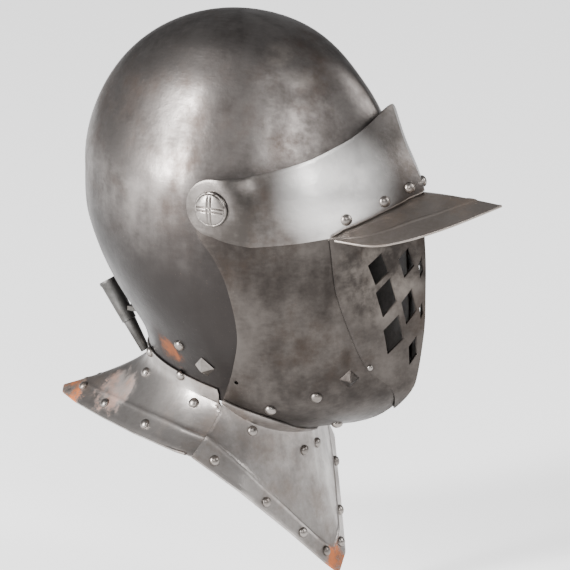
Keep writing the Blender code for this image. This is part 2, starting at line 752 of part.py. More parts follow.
front_gorget = sheet("front_gorget", front_gorget_rows((-1.0, 0.0, 0.10, 0.25, 0.45, 0.70, 1.0)),
                     GORGET_WALL, bevor_hinge, mask_steel, parts)
rear_gorget = sheet("rear_gorget", rear_gorget_rows((-1.0, 0.0, 0.12, 0.30, 0.52, 0.76, 1.0)),
                    GORGET_WALL, bowl_frame, bowl_steel, parts)

# Rosettes, each one piece with its bolt and inner head
stack = PIVOT_HALF_WIDTH + BROW_SIDE_IN + BROW_WALL


def bowl_half_width(y):
    """Half width of the bowl's outer face at the pivot's height, in front of its widest point."""
    mid = SKULL_MID_Y - 0.0024
    share = (mid - y) / (mid - SKULL_MID_Y + SKULL_FRONT_LENGTH)
    return SKULL_HALF_WIDTH * (1.0 - share ** SKULL_CROWN_SHARE) ** (1.0 / SKULL_CROWN_SHARE)


inner_face = bowl_half_width(-INNER_HEAD_RADIUS * 1.15) - SKULL_WALL - 2.0 * PLATE_GAP
for side, name in ((-1.0, "rosette_right"), (1.0, "rosette_left")):
    base = stack + PLATE_GAP
    low = inner_face
    profile = [
        (0.0, ROSETTE_HEIGHT), (ROSETTE_RADIUS * 0.45, ROSETTE_HEIGHT * 0.88),
        (ROSETTE_RADIUS * 0.82, ROSETTE_HEIGHT * 0.55), (ROSETTE_RADIUS, ROSETTE_HEIGHT * 0.15),
        (ROSETTE_RADIUS, 0.0), (BOLT_RADIUS, 0.0), (BOLT_RADIUS, low - base),
        (INNER_HEAD_RADIUS, low - base), (INNER_HEAD_RADIUS, low - base - INNER_HEAD_HEIGHT * 0.6),
        (INNER_HEAD_RADIUS * 0.6, low - base - INNER_HEAD_HEIGHT), (0.0, low - base - INNER_HEAD_HEIGHT),
    ]
    turned(name, profile, 12, Vector((side * base, 0.0, 0.0)), Vector((side, 0.0, 0.0)), bowl_frame,
           rivet_steel, parts)

# Plume socket at the nape
axis = Vector((0.0, math.sin(SOCKET_TILT), math.cos(SOCKET_TILT)))
nape = bowl_point(-SOCKET_LEVEL, 2.0)
socket_mid = nape + Vector((0.0, SOCKET_STANDOFF + SOCKET_STEP_RADIUS, 0.0))
socket_low = socket_mid - axis * SOCKET_LENGTH * 0.45
profile = [
    (SOCKET_TOP_RADIUS, SOCKET_LENGTH), (SOCKET_TOP_RADIUS * 0.86, SOCKET_LENGTH * 0.72),
    (SOCKET_STEP_RADIUS, SOCKET_LENGTH * 0.45), (SOCKET_BOTTOM_RADIUS, 0.0),
    (SOCKET_BOTTOM_RADIUS - SOCKET_WALL, 0.0), (SOCKET_STEP_RADIUS - SOCKET_WALL, SOCKET_LENGTH * 0.45),
    (SOCKET_TOP_RADIUS * 0.86 - SOCKET_WALL, SOCKET_LENGTH * 0.72),
    (SOCKET_TOP_RADIUS - SOCKET_WALL, SOCKET_LENGTH),
]
turned("plume_tube", profile, 16, socket_low, axis, bowl_frame, rivet_steel, parts, closed=True)

# Bracket that holds the socket to the nape
foot_low = bowl_point(-BRACKET_LEVEL - BRACKET_FOOT / 2.0, 2.0)
foot_high = bowl_point(-BRACKET_LEVEL + BRACKET_FOOT / 2.0, 2.0)
foot_run = (foot_high - foot_low).normalized()
foot_out = Vector((0.0, foot_run.z, -foot_run.y))
if foot_out.y < 0.0:
    foot_out = -foot_out
gap = foot_out * PLATE_GAP * 2.0
face_out = foot_out * (PLATE_GAP * 2.0 + BRACKET_WALL)
arm_z = (foot_low.z + foot_high.z) / 2.0
arm_rise = (arm_z - socket_mid.z) / math.cos(SOCKET_TILT) / (SOCKET_LENGTH * 0.27)
arm_radius = SOCKET_STEP_RADIUS + (SOCKET_TOP_RADIUS * 0.86 - SOCKET_STEP_RADIUS) * max(0.0, arm_rise)
arm_low = arm_z - BRACKET_WALL
arm_high = arm_z + BRACKET_WALL
arm_end = (socket_mid.y + math.tan(SOCKET_TILT) * (arm_low - socket_mid.z)
           - arm_radius / math.cos(SOCKET_TILT) - PLATE_GAP)


def foot_y(height):
    share = (height - foot_low.z) / (foot_high.z - foot_low.z)
    return (foot_low + (foot_high - foot_low) * share + face_out).y


bracket_outline = [
    foot_low + gap, foot_low + face_out, Vector((0.0, foot_y(arm_low), arm_low)),
    Vector((0.0, arm_end, arm_low)), Vector((0.0, arm_end, arm_high)),
    Vector((0.0, foot_y(arm_high), arm_high)), foot_high + face_out, foot_high + gap,
]
bracket_curve = bpy.data.curves.new("plume_bracket_outline", "CURVE")
bracket_curve.dimensions = "2D"
bracket_curve.fill_mode = "BOTH"
bracket_curve.extrude = BRACKET_HALF_WIDTH
spline = bracket_curve.splines.new("POLY")
spline.points.add(len(bracket_outline) - 1)
for dot, corner in zip(spline.points, bracket_outline):
    dot.co = (corner.y, corner.z, 0.0, 1.0)
spline.use_cyclic_u = True
bracket = place(bracket_curve, "plume_bracket", bowl_frame, rivet_steel, parts)
bracket.rotation_euler = (math.radians(90.0), 0.0, math.radians(90.0))


def dome(name, seat, radius, height, parent):
    profile = [(0.0, height), (radius * 0.68, height * 0.74), (radius, 0.0), (0.0, 0.0)]
    turned(name, profile, 8, seat[0], seat[1], parent, rivet_steel, parts)


def pyramid(name, seat, radius, parent):
    mesh = bpy.data.meshes.new(name)
    shape = bmesh.new()
    bmesh.ops.create_cone(shape, cap_ends=True, segments=4, radius1=radius, radius2=0.0, depth=STUD_HEIGHT)
    bmesh.ops.translate(shape, verts=shape.verts, vec=(0.0, 0.0, STUD_HEIGHT / 2.0))
    shape.to_mesh(mesh)
    shape.free()
    item = place(mesh, name, parent, rivet_steel, parts)
    item.location = seat[0]
    item.rotation_euler = seat[1].to_track_quat("Z", "Y").to_euler()


def mask_seat(level, share, amount):
    depth = depth_at_share(share, mask_section(level)[4])
    point = mask_shell(level, depth, amount + RIVET_GAP)
    return point, (mask_shell(level, depth, amount + 0.001 + RIVET_GAP) - point).normalized()


def gorget_seat(station, share):
    surface = under_point if station > 0.5 else gorget_point
    normal = surface_normal(surface, station, share)
    stand = BAND_RIVET_GAP if share < 0.0 else FLARE_RIVET_GAP
    return surface(station, share) + normal * (GORGET_WALL + stand), normal


def bowl_seat(level, turn):
    normal = surface_normal(bowl_point, level, turn)
    return bowl_point(level, turn) + normal * RIVET_GAP, normal


def both_sides(seat):
    for side, tag in ((-1.0, "right"), (1.0, "left")):
        yield tag, tuple(Vector((side * part.x, part.y, part.z)) for part in seat)


for index, share in enumerate(VISOR_RIVETS):
    bottom = lerp_table(BROW_COLUMNS, share, 2) * BROW_DROP
    seat = mask_seat(bottom + PEAK_FLANGE * 0.55, share, BROW_FRONT_IN + BROW_WALL)
    for tag, placed in both_sides(seat):
        dome("visor_rivet_%d_%s" % (index + 1, tag), placed, RIVET_RADIUS, RIVET_HEIGHT, visor_hinge)

for index, (level, share) in enumerate(BEVOR_RIVETS):
    seat = mask_seat(level * MASK_DROP, share, BEVOR_IN + BEVOR_WALL)
    for tag, placed in both_sides(seat):
        dome("bevor_rivet_%d_%s" % (index + 1, tag), placed, RIVET_RADIUS, RIVET_HEIGHT, bevor_hinge)

seat = mask_seat(FACE_RIVET[0] * MASK_DROP, FACE_RIVET[1], BEVOR_IN + BEVOR_WALL + FACE_WALL + PLATE_GAP)
for tag, placed in both_sides(seat):
    dome("face_rivet_%s" % tag, placed, SMALL_RIVET_RADIUS, SMALL_RIVET_HEIGHT, bevor_hinge)

seat = mask_seat(BEVOR_STUD[0] * MASK_DROP, BEVOR_STUD[1], BEVOR_IN + BEVOR_WALL)
for tag, placed in both_sides(seat):
    pyramid("bevor_stud_%s" % tag, placed, BEVOR_STUD_RADIUS, bevor_hinge)

for index, (station, share) in enumerate(FRONT_RIVETS):
    for tag, placed in both_sides(gorget_seat(station, share)):
        dome("front_gorget_rivet_%d_%s" % (index + 1, tag), placed, RIVET_RADIUS, RIVET_HEIGHT, bevor_hinge)

for index, (station, share) in enumerate(REAR_RIVETS):
    for tag, placed in both_sides(gorget_seat(station, share)):
        dome("rear_gorget_rivet_%d_%s" % (index + 1, tag), placed, RIVET_RADIUS, RIVET_HEIGHT, bowl_frame)

for tag, placed in both_sides(bowl_seat(BOWL_RIVET[0] * NAPE_DROP, BOWL_RIVET[1])):
    dome("bowl_rivet_%s" % tag, placed, RIVET_RADIUS, RIVET_HEIGHT, bowl_frame)
for tag, placed in both_sides(bowl_seat(BOWL_STUD[0] * NAPE_DROP, BOWL_STUD[1])):
    pyramid("bowl_stud_%s" % tag, placed, SKULL_STUD_RADIUS, bowl_frame)
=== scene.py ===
import math

import bmesh
import bpy
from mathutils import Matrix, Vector


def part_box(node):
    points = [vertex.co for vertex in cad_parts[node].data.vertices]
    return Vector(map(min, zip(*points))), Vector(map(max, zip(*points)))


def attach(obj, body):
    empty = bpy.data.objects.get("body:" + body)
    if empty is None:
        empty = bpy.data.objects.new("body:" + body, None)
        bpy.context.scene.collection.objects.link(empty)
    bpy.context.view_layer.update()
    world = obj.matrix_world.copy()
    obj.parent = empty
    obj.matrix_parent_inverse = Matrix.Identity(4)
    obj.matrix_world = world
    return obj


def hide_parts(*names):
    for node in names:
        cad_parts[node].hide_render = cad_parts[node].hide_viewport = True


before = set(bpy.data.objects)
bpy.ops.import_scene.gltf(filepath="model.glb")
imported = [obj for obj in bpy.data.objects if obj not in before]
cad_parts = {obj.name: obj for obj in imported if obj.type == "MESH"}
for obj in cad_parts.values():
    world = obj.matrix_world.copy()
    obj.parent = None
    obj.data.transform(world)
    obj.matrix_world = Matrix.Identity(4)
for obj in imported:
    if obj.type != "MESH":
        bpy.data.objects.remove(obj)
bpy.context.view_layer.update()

# Camera: the helmet is seen from its right front, from a little above its middle, through a long
# lens, so that near and far edges keep nearly the same scale.
PIVOT = Vector((0.0, -0.0274, -0.1144))
CAMERA_TURN = math.radians(-62.0)
CAMERA_RISE = math.radians(16.7)
VIEW_WIDTH = 0.399
LENS = 400.0
SENSOR = 36.0
VIEW_CENTRE = PIVOT + Vector((0.0, -0.0075, -0.0780))
toward_camera = Vector((math.sin(CAMERA_TURN) * math.cos(CAMERA_RISE),
                        -math.cos(CAMERA_TURN) * math.cos(CAMERA_RISE), math.sin(CAMERA_RISE)))
camera_data = bpy.data.cameras.new("photo_camera")
camera_data.lens = LENS
camera_data.sensor_width = SENSOR
camera = bpy.data.objects.new("photo_camera", camera_data)
camera.location = VIEW_CENTRE + toward_camera * (VIEW_WIDTH * LENS / SENSOR)
camera.rotation_euler = toward_camera.to_track_quat("Z", "Y").to_euler()
bpy.context.scene.collection.objects.link(camera)
bpy.context.scene.camera = camera


# Bowl: raised from one sheet of steel, polished once and now grey-brown, darkest low down at the
# nape. It carries both pivots, the plume socket and the rear neck plate.
BOWL_HALF_WIDTH = 0.089
BOWL_HALF_LENGTH = 0.115
BOWL_FRONT_LENGTH = 0.1215
BOWL_RISE = 0.111
BOWL_MID_Y = 0.0274
BOWL_MID_Z = 0.0048
BOWL_WALL = 0.0014
BOWL_PLAN_POWER = 1.50
BOWL_NARROWING = 0.10
NAPE_DROP = 0.151
NECK_REAR_RISE = 0.016
BOWL_ROWS = [
    (0.00, 1.000, 0.217, 1.000), (0.24, 0.993, 0.207, 0.990), (0.46, 0.955, 0.180, 0.900),
    (0.62, 0.890, 0.165, 0.800), (0.76, 0.800, 0.140, 0.690), (0.88, 0.700, 0.120, 0.615),
    (1.00, 0.622, 0.104, 0.590),
]
FACE_OPENING = [
    (-1.30, 0.095), (-0.52, 0.08), (-0.36, -0.026), (-0.27, -0.165), (-0.26, -0.40), (-0.28, -0.60),
    (-0.226, -0.79), (-0.13, -0.93), (-0.07, -1.06), (-0.07, -1.30), (-1.30, -1.30),
]


def smooth(value):
    value = min(1.0, max(0.0, value))
    return value * value * (3.0 - 2.0 * value)


def faired(table, key, column):
    """A smooth reading of a table of sections, so that the hammered surface shows no steps."""
    rows = sorted(table, key=lambda row: row[0])
    key = min(rows[-1][0], max(rows[0][0], key))
    index = 0
    while index < len(rows) - 2 and key > rows[index + 1][0]:
        index += 1
    low, high = rows[index], rows[index + 1]
    before = rows[max(0, index - 1)]
    after = rows[min(len(rows) - 1, index + 2)]
    span = high[0] - low[0]
    start = (high[column] - before[column]) / (high[0] - before[0]) * span
    end = (after[column] - low[column]) / (after[0] - low[0]) * span
    t = (key - low[0]) / span
    return ((2 * t ** 3 - 3 * t ** 2 + 1) * low[column] + (t ** 3 - 2 * t ** 2 + t) * start
            + (3 * t ** 2 - 2 * t ** 3) * high[column] + (t ** 3 - t ** 2) * end)


def bowl_point(level, turn):
    if level >= BOWL_MID_Z:
        rise = min(1.0, (level - BOWL_MID_Z) / BOWL_RISE)
        size = math.sqrt(max(0.0, 1.0 - rise * rise))
        narrow = 1.0 - BOWL_NARROWING * smooth(rise / 0.55) * (1.0 - smooth((rise - 0.75) / 0.25))
        width = BOWL_HALF_WIDTH * size * narrow
        mid = BOWL_MID_Y - 0.0024 * size
        front = BOWL_MID_Y - BOWL_FRONT_LENGTH * size
        rear = BOWL_MID_Y + BOWL_HALF_LENGTH * size
        power = BOWL_PLAN_POWER + (2.0 - BOWL_PLAN_POWER) * smooth((rise - 0.60) / 0.40)
    else:
        drop = (BOWL_MID_Z - level) / NAPE_DROP
        width = faired(BOWL_ROWS, drop, 1) * BOWL_HALF_WIDTH
        mid = faired(BOWL_ROWS, drop, 2) * BOWL_HALF_LENGTH
        rear = BOWL_MID_Y + faired(BOWL_ROWS, drop, 3) * BOWL_HALF_LENGTH
        front = BOWL_MID_Y - BOWL_FRONT_LENGTH
        power = BOWL_PLAN_POWER
    angle = turn * math.pi / 2.0
    if turn <= 1.0:
        x = width * math.sin(angle) ** (2.0 / power)
        y = mid - (mid - front) * max(0.0, math.cos(angle)) ** (2.0 / power)
    else:
        x = width * max(0.0, math.sin(angle))
        y = mid - (rear - mid) * math.cos(angle)
    if turn in (0.0, 2.0):
        x = 0.0
    z = level
    if level < BOWL_MID_Z:
        drop = (BOWL_MID_Z - level) / NAPE_DROP
        share = (y - mid) / (rear - mid) if y > mid else 0.0
        z = level + NECK_REAR_RISE * smooth(drop) * share
    return Vector((x, y, z))


def half_sheet(name, rows):
    """The left half of a plate's inner face, as an open grid of quads."""
    mesh = bpy.data.meshes.new(name)
    shape = bmesh.new()
    grid = [[shape.verts.new(point + PIVOT) for point in line] for line in rows]
    for upper, lower in zip(grid, grid[1:]):
        for j in range(len(upper) - 1):
            shape.faces.new((upper[j], lower[j], lower[j + 1], upper[j + 1]))
    bmesh.ops.remove_doubles(shape, verts=shape.verts, dist=2e-6)
    bmesh.ops.dissolve_degenerate(shape, edges=shape.edges, dist=1e-6)
    shape.to_mesh(mesh)
    shape.free()
    item = bpy.data.objects.new(name, mesh)
    bpy.context.scene.collection.objects.link(item)
    return item


def plain(item, sharp=38.0):
    """Applies what is on a piece and leaves one smooth-shaded mesh at the origin."""
    depsgraph = bpy.context.evaluated_depsgraph_get()
    mesh = bpy.data.meshes.new_from_object(item.evaluated_get(depsgraph))
    mesh.validate()
    item.modifiers.clear()
    item.data = mesh
    mesh.shade_smooth()
    mesh.set_sharp_from_angle(angle=math.radians(sharp))
    return item


def forge(item, wall, cutters=(), edge=0.00035, even=True):
    """Mirrors the half, gives it its wall outwards, cuts its holes and breaks its sharp edges."""
    mirror = item.modifiers.new("halves", "MIRROR")
    mirror.merge_threshold = 0.00005
    solid = item.modifiers.new("wall", "SOLIDIFY")
    solid.thickness = wall
    solid.offset = 1.0
    solid.use_even_offset = even
    for cutter in cutters:
        hole = item.modifiers.new("hole", "BOOLEAN")
        hole.operation = "DIFFERENCE"
        hole.solver = "EXACT"
        hole.use_self = True
        hole.object = cutter
    if edge:
        broken = item.modifiers.new("broken_edge", "BEVEL")
        broken.width = edge
        broken.segments = 2
        broken.limit_method = "ANGLE"
        broken.angle_limit = math.radians(55.0)
    return plain(item)


def prism(name, outlines, axis, low, high):
    mesh = bpy.data.meshes.new(name)
    shape = bmesh.new()
    for outline in outlines:
        ends = []
        for value in (low, high):
            if axis == "X":
                ends.append([shape.verts.new(PIVOT + Vector((value, a, b))) for a, b in outline])
            else:
                ends.append([shape.verts.new(PIVOT + Vector((a, value, b))) for a, b in outline])
        faces = [shape.faces.new(ends[0]), shape.faces.new(list(reversed(ends[1])))]
        for index in range(len(outline)):
            nxt = (index + 1) % len(outline)
            faces.append(shape.faces.new((ends[0][nxt], ends[0][index], ends[1][index], ends[1][nxt])))
        bmesh.ops.recalc_face_normals(shape, faces=faces)
    shape.to_mesh(mesh)
    shape.free()
    item = bpy.data.objects.new(name, mesh)
    bpy.context.scene.collection.objects.link(item)
    return item


class Tone:
    """A number that varies over the steel, written with plain operators."""

    def __init__(self, paint, socket):
        self.paint = paint
        self.socket = socket

    def apply(self, operation, first, second):
        node = self.paint.add("ShaderNodeMath", {"operation": operation}, {0: first, 1: second})
        return Tone(self.paint, node.outputs[0])

    def __add__(self, other):
        return self.apply("ADD", self, other)

    def __radd__(self, other):
        return self.apply("ADD", other, self)

    def __sub__(self, other):
        return self.apply("SUBTRACT", self, other)

    def __rsub__(self, other):
        return self.apply("SUBTRACT", other, self)

    def __mul__(self, other):
        return self.apply("MULTIPLY", self, other)

    def __rmul__(self, other):
        return self.apply("MULTIPLY", other, self)

    def least(self, other):
        return self.apply("MINIMUM", self, other)

    def most(self, other):
        return self.apply("MAXIMUM", self, other)

    def ramp(self, low, high):
        node = self.paint.add("ShaderNodeMapRange", {"interpolation_type": "SMOOTHSTEP"},
                              {"Value": self, "From Min": low, "From Max": high})
        return Tone(self.paint, node.outputs["Result"])


class Paint:
    """One finish: a Principled surface and the nodes that vary it."""

    def __init__(self, name):
        self.material = bpy.data.materials.new(name)
        self.material.use_nodes = True
        self.tree = self.material.node_tree
        self.tree.nodes.clear()
        self.place = self.add("ShaderNodeTexCoord", {}, {}).outputs["Object"]

    def add(self, kind, settings, inputs):
        node = self.tree.nodes.new(kind)
        for key, value in settings.items():
            setattr(node, key, value)
        for key, value in inputs.items():
            socket = node.inputs[key]
            if isinstance(value, Tone):
                self.tree.links.new(value.socket, socket)
            elif isinstance(value, bpy.types.NodeSocket):
                self.tree.links.new(value, socket)
            else:
                socket.default_value = value
        return node

    def noise(self, scale, detail=4.0, rough=0.55, stretch=(1.0, 1.0, 1.0), shift=(0.0, 0.0, 0.0)):
        moved = self.add("ShaderNodeMapping", {}, {"Vector": self.place, "Scale": stretch, "Location": shift})
        node = self.add("ShaderNodeTexNoise", {}, {"Vector": moved.outputs[0], "Scale": scale,
                                                   "Detail": detail, "Roughness": rough})
        return Tone(self, node.outputs["Fac"])

    def near(self, centre, inner, outer):
        """One at a spot on the helmet, fading out between two distances."""
        node = self.add("ShaderNodeVectorMath", {"operation": "DISTANCE"},
                        {0: self.place, 1: tuple(PIVOT + Vector(centre))})
        return Tone(self, node.outputs["Value"]).ramp(outer, inner)

    def mix(self, factor, first, second):
        node = self.add("ShaderNodeMix", {"data_type": "RGBA"}, {"Factor": factor, 6: first, 7: second})
        return node.outputs[2]

    def finish(self, colour, roughness, metallic, bump, bump_distance, sharpness=1.0):
        raised = self.add("ShaderNodeBump", {}, {"Height": bump, "Distance": bump_distance,
                                                 "Strength": sharpness})
        shader = self.add("ShaderNodeBsdfPrincipled", {}, {"Base Color": colour, "Roughness": roughness,
                                                           "Metallic": metallic,
                                                           "Normal": raised.outputs[0]})
        output = self.add("ShaderNodeOutputMaterial", {}, {"Surface": shader.outputs[0]})
        output.is_active_output = True
        return self.material


RUST = (0.42, 0.105, 0.014, 1.0)
DARK_RUST = (0.09, 0.045, 0.025, 1.0)


def aged_steel(name, light, dark, brown, rust_spots=(), bare_spots=(), rough=0.30, dim=None, painted_highlights=()):
    """Old steel: cloudy grey patina, brown bloom, fine scratches, pin pits and rust where it was wet."""
    paint = Paint(name)
    clouds = paint.noise(16.0, 6.0, 0.62)
    blotch = paint.noise(42.0, 5.0, 0.65, shift=(0.3, 0.1, 0.7))
    streaks = paint.noise(90.0, 3.0, 0.5, stretch=(1.0, 1.0, 0.12))
    scratches = paint.noise(420.0, 2.0, 0.5, stretch=(1.0, 0.18, 0.9))
    grit = paint.noise(900.0, 3.0, 0.6)
    bloom = paint.noise(24.0, 7.0, 0.7, shift=(1.7, 0.4, 0.2))
    tone = (clouds * 0.50 + blotch * 0.28 + streaks * 0.14 + scratches * 0.08).ramp(0.36, 0.66)
    colour = paint.mix(tone, dark, light)
    stain = bloom.ramp(0.47, 0.74) * 0.85
    colour = paint.mix(stain, colour, brown)
    # Darker towards the bottom: the colour is mixed towards near-black between two given heights.
    if dim:
        split = paint.add("ShaderNodeSeparateXYZ", {}, {0: paint.place})
        height = Tone(paint, split.outputs["Z"])
        low_darkening = (height + (clouds - 0.5) * 0.05).ramp(dim[0], dim[1]) * dim[2]
        colour = paint.mix(low_darkening, colour, (0.026, 0.023, 0.022, 1.0))
    pits = grit.ramp(0.66, 0.76) * blotch.ramp(0.40, 0.62)
    colour = paint.mix(pits * 0.55, colour, DARK_RUST)
    roughness = rough + (1.0 - tone) * 0.14 + stain * 0.10 + pits * 0.10
    metallic = 1.0 - stain * 0.12 - pits * 0.20
    # Painted highlights: near-white patches painted into the colour, fading out from each given spot, stand
    # in for a soft box's glint on the steel.
    for spot in painted_highlights:
        painted_highlight_fade = paint.near(spot[:3], spot[3] * 0.25, spot[3])
        colour = paint.mix((painted_highlight_fade + (clouds - 0.5) * 1.1 * painted_highlight_fade).most(0.0).least(1.0), colour,
                           (0.96, 0.935, 0.91, 1.0))
    for spot in bare_spots:
        bare = paint.near(spot[:3], spot[3] * 0.3, spot[3]) * (clouds * 0.6 + blotch * 0.4).ramp(0.40, 0.62)
        colour = paint.mix(bare * 0.65, colour, (0.27, 0.238, 0.210, 1.0))
        roughness = roughness + bare * 0.12
    for spot in rust_spots:
        edge = paint.near(spot[:3], spot[3] * 0.35, spot[3])
        patch = edge * 0.9 + (clouds - 0.5) * 2.2 + (blotch - 0.5) * 3.2 + (grit - 0.5) * 1.2
        patch = patch.ramp(0.25, 0.80) * edge.ramp(0.0, 0.35)
        flakes = paint.mix(blotch.ramp(0.42, 0.58), DARK_RUST, RUST)
        colour = paint.mix(patch * spot[4], colour, flakes)
        roughness = roughness + patch * 0.34
        metallic = metallic - patch * 0.80 * spot[4]
    bump = clouds * 0.55 + blotch * 0.22 + scratches * 0.05 + grit * 0.04 - pits * 0.12
    return paint.finish(colour, roughness.least(0.95), metallic.most(0.0), bump, 0.0016, 0.55)


bowl_steel = aged_steel("bowl_steel", (0.235, 0.215, 0.203, 1.0), (0.064, 0.056, 0.052, 1.0),
                        (0.068, 0.049, 0.040, 1.0), dim=(-0.085, -0.175, 0.97),
                        rust_spots=[(-0.060, 0.058, -0.124, 0.020, 0.40), (0.060, 0.058, -0.124, 0.016, 0.3)],
                        bare_spots=[(-0.030, -0.020, 0.098, 0.014), (-0.036, -0.042, 0.086, 0.015)])

bowl_rows = []
for step in range(29):
    level = BOWL_MID_Z + BOWL_RISE * math.cos(step / 28.0 * math.pi / 2.0)
    bowl_rows.append([bowl_point(level, turn / 24.0) for turn in range(49)])
for step in range(1, 31):
    level = BOWL_MID_Z - (NAPE_DROP + BOWL_MID_Z) * step / 30.0
    bowl_rows.append([bowl_point(level, turn / 24.0) for turn in range(49)])


def inward(rows, amount):
    moved = []
    for i, line in enumerate(rows):
        kept = []
        for j, point in enumerate(line):
            down = rows[min(len(rows) - 1, i + 1)][j] - rows[max(0, i - 1)][j]
            across = line[min(len(line) - 1, j + 1)] - line[max(0, j - 1)]
            if across.length < 1e-7:
                kept.append(point + Vector((0.0, 0.0, -amount)))
                continue
            normal = down.cross(across).normalized()
            if j in (0, len(line) - 1):
                normal = Vector((0.0, normal.y, normal.z)).normalized()
            kept.append(point - normal * amount)
        moved.append(kept)
    return moved


opening = prism("face_opening_tool", [[(a * BOWL_HALF_LENGTH, b * NAPE_DROP) for a, b in FACE_OPENING]],
                "X", -BOWL_HALF_WIDTH * 1.3, BOWL_HALF_WIDTH * 1.3)
bowl = forge(half_sheet("bowl_shell", inward(bowl_rows, BOWL_WALL)), BOWL_WALL, [opening])
bowl.data.materials.append(bowl_steel)
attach(bowl, "bowl")
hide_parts("skull")


# Bevor: the chin and cheek plate. It swings on the same bolts as the visor and carries the face
# plate and the front neck plate, riveted to it. Its surface is keeled down the middle.
MASK_HALF_WIDTH = 0.0935
MASK_REACH = 0.1175
MASK_DROP = 0.1825
PIVOT_HALF_WIDTH = 0.0915
PIVOT_FLAT_RADIUS = 0.016
PIVOT_BLEND_RADIUS = 0.032
BEVOR_WALL = 0.0012
FACE_WALL = 0.0012
BROW_WALL = 0.0012
PEAK_WALL = 0.0010
GORGET_WALL = 0.0012
PLATE_GAP = 0.0005
SWING_GAP = 0.0018
FLANGE_GAP = 0.0010
NECK_GAP = 0.0010
NECK_SEAT = 0.0003
FACE_LAP = 0.008
FACE_HALF_WIDTH = 0.056
BEVOR_LOBE_RADIUS = 0.014
BEVOR_TOP_DROP = 0.012
FACE_IN = -FACE_WALL
BEVOR_IN = FACE_IN - PLATE_GAP - BEVOR_WALL
FLANGE_IN = FLANGE_GAP
BROW_FRONT_IN = FLANGE_IN + PEAK_WALL + PLATE_GAP
BROW_SIDE_IN = BEVOR_IN + BEVOR_WALL + SWING_GAP
GORGET_IN = BEVOR_IN + BEVOR_WALL + NECK_SEAT
MASK_TABLE = [
    (0.345, 0.345, 0.813, 0.187, -0.741, 0.60), (0.186, 0.186, 0.920, 0.187, -0.835, 0.68),
    (0.027, 0.027, 0.995, 0.187, -0.955, 0.76), (-0.203, -0.203, 1.000, 0.187, -1.000, 0.80),
    (-0.400, -0.384, 0.957, 0.170, -1.004, 0.80), (-0.504, -0.471, 0.920, 0.162, -1.000, 0.80),
    (-0.603, -0.548, 0.877, 0.153, -0.981, 0.80), (-0.685, -0.614, 0.834, 0.145, -0.960, 0.80),
    (-0.751, -0.668, 0.791, 0.136, -0.933, 0.80), (-0.795, -0.707, 0.759, 0.132, -0.889, 0.80),
    (-0.855, -0.745, 0.727, 0.128, -0.796, 0.78), (-0.910, -0.778, 0.695, 0.119, -0.672, 0.74),
    (-0.953, -0.805, 0.663, 0.111, -0.494, 0.68), (-0.975, -0.822, 0.642, 0.106, -0.340, 0.60),
    (-1.000, -0.827, 0.626, 0.102, -0.238, 0.55),
]
BEVOR_REAR_EDGE = [
    (-0.827, 0.099), (-0.773, 0.051), (-0.658, -0.037), (-0.499, -0.106), (-0.312, -0.071),
    (-0.203, 0.000), (-0.107, 0.109), (-0.055, 0.119), (0.0, 0.119),
]
FACE_SIDE_EDGE = [(-0.8575, 0.0), (-0.751, 0.25), (-0.646, 0.571), (-0.362, 0.911), (-0.110, 1.0)]


def straight(table, key, column):
    rows = sorted(table, key=lambda row: row[0])
    if key <= rows[0][0]:
        return rows[0][column]
    for low, high in zip(rows, rows[1:]):
        if key <= high[0]:
            share = (key - low[0]) / (high[0] - low[0])
            return low[column] + (high[column] - low[column]) * share
    return rows[-1][column]


def mask_section(level):
    key = level / MASK_DROP
    side, width, mid, reach, keel = (faired(MASK_TABLE, key, column) for column in range(1, 6))
    return side * MASK_DROP, width * MASK_HALF_WIDTH, mid * MASK_REACH, reach * MASK_REACH, min(0.97, keel)


def depth_at_share(share, keel):
    return math.sqrt(max(0.0, 1.0 - keel * share - (1.0 - keel) * share * share))


def mask_point(level, depth):
    side, width, mid, reach, keel = mask_section(level)
    rest = max(0.0, 1.0 - depth * depth)
    share = (-keel + math.sqrt(keel * keel + 4.0 * (1.0 - keel) * rest)) / (2.0 * (1.0 - keel))
    x = width * share
    y = mid - (mid - reach) * depth
    z = side + (level - side) * depth
    radius = math.hypot(y, z)
    blend = 1.0 - smooth((radius - PIVOT_FLAT_RADIUS) / (PIVOT_BLEND_RADIUS - PIVOT_FLAT_RADIUS))
    return Vector((x + (PIVOT_HALF_WIDTH - x) * blend, y, z))


def depth_for_x(level, x):
    section = mask_section(level)
    return depth_at_share(min(1.0, x / section[1]), section[4])


def depth_for_y(level, y):
    section = mask_section(level)
    return min(1.0, max(0.0, (section[2] - y) / (section[2] - section[3])))


def mask_shell(level, depth, amount):
    point = mask_point(level, depth)
    angle = max(0.03, math.acos(min(1.0, depth)))
    rearward = mask_point(level, math.cos(angle + 0.02)) - mask_point(level, math.cos(angle - 0.02))
    downward = mask_point(level - 0.002, math.cos(angle)) - mask_point(level + 0.002, math.cos(angle))
    normal = downward.cross(rearward).normalized()
    if depth > 0.999999:
        flat = Vector((0.0, normal.y, normal.z))
        return Vector((0.0, point.y, point.z)) + flat * (amount / flat.length_squared)
    return point + normal * amount


def mask_depths(level, start_depth, end_depth, fractions):
    steps = 60
    low = math.acos(min(1.0, start_depth))
    high = math.acos(min(1.0, end_depth))
    angles = [low + (high - low) * step / steps for step in range(steps + 1)]
    points = [mask_point(level, math.cos(angle)) for angle in angles]
    lengths = [0.0]
    for first, second in zip(points, points[1:]):
        lengths.append(lengths[-1] + (second - first).length)
    found = []
    for fraction in fractions:
        if fraction <= 0.0:
            found.append(start_depth)
            continue
        target = lengths[-1] * fraction
        index = 0
        while index < steps - 1 and target > lengths[index + 1]:
            index += 1
        share = (target - lengths[index]) / max(1e-9, lengths[index + 1] - lengths[index])
        found.append(math.cos(angles[index] + (angles[index + 1] - angles[index]) * min(1.0, share)))
    return found


def side_edge_x(level, lap):
    z = level
    x = 0.0
    for _ in range(5):
        x = max(0.0, faired(FACE_SIDE_EDGE, z / MASK_DROP, 1) * FACE_HALF_WIDTH - lap)
        z = mask_point(level, depth_for_x(level, x)).z
    return x


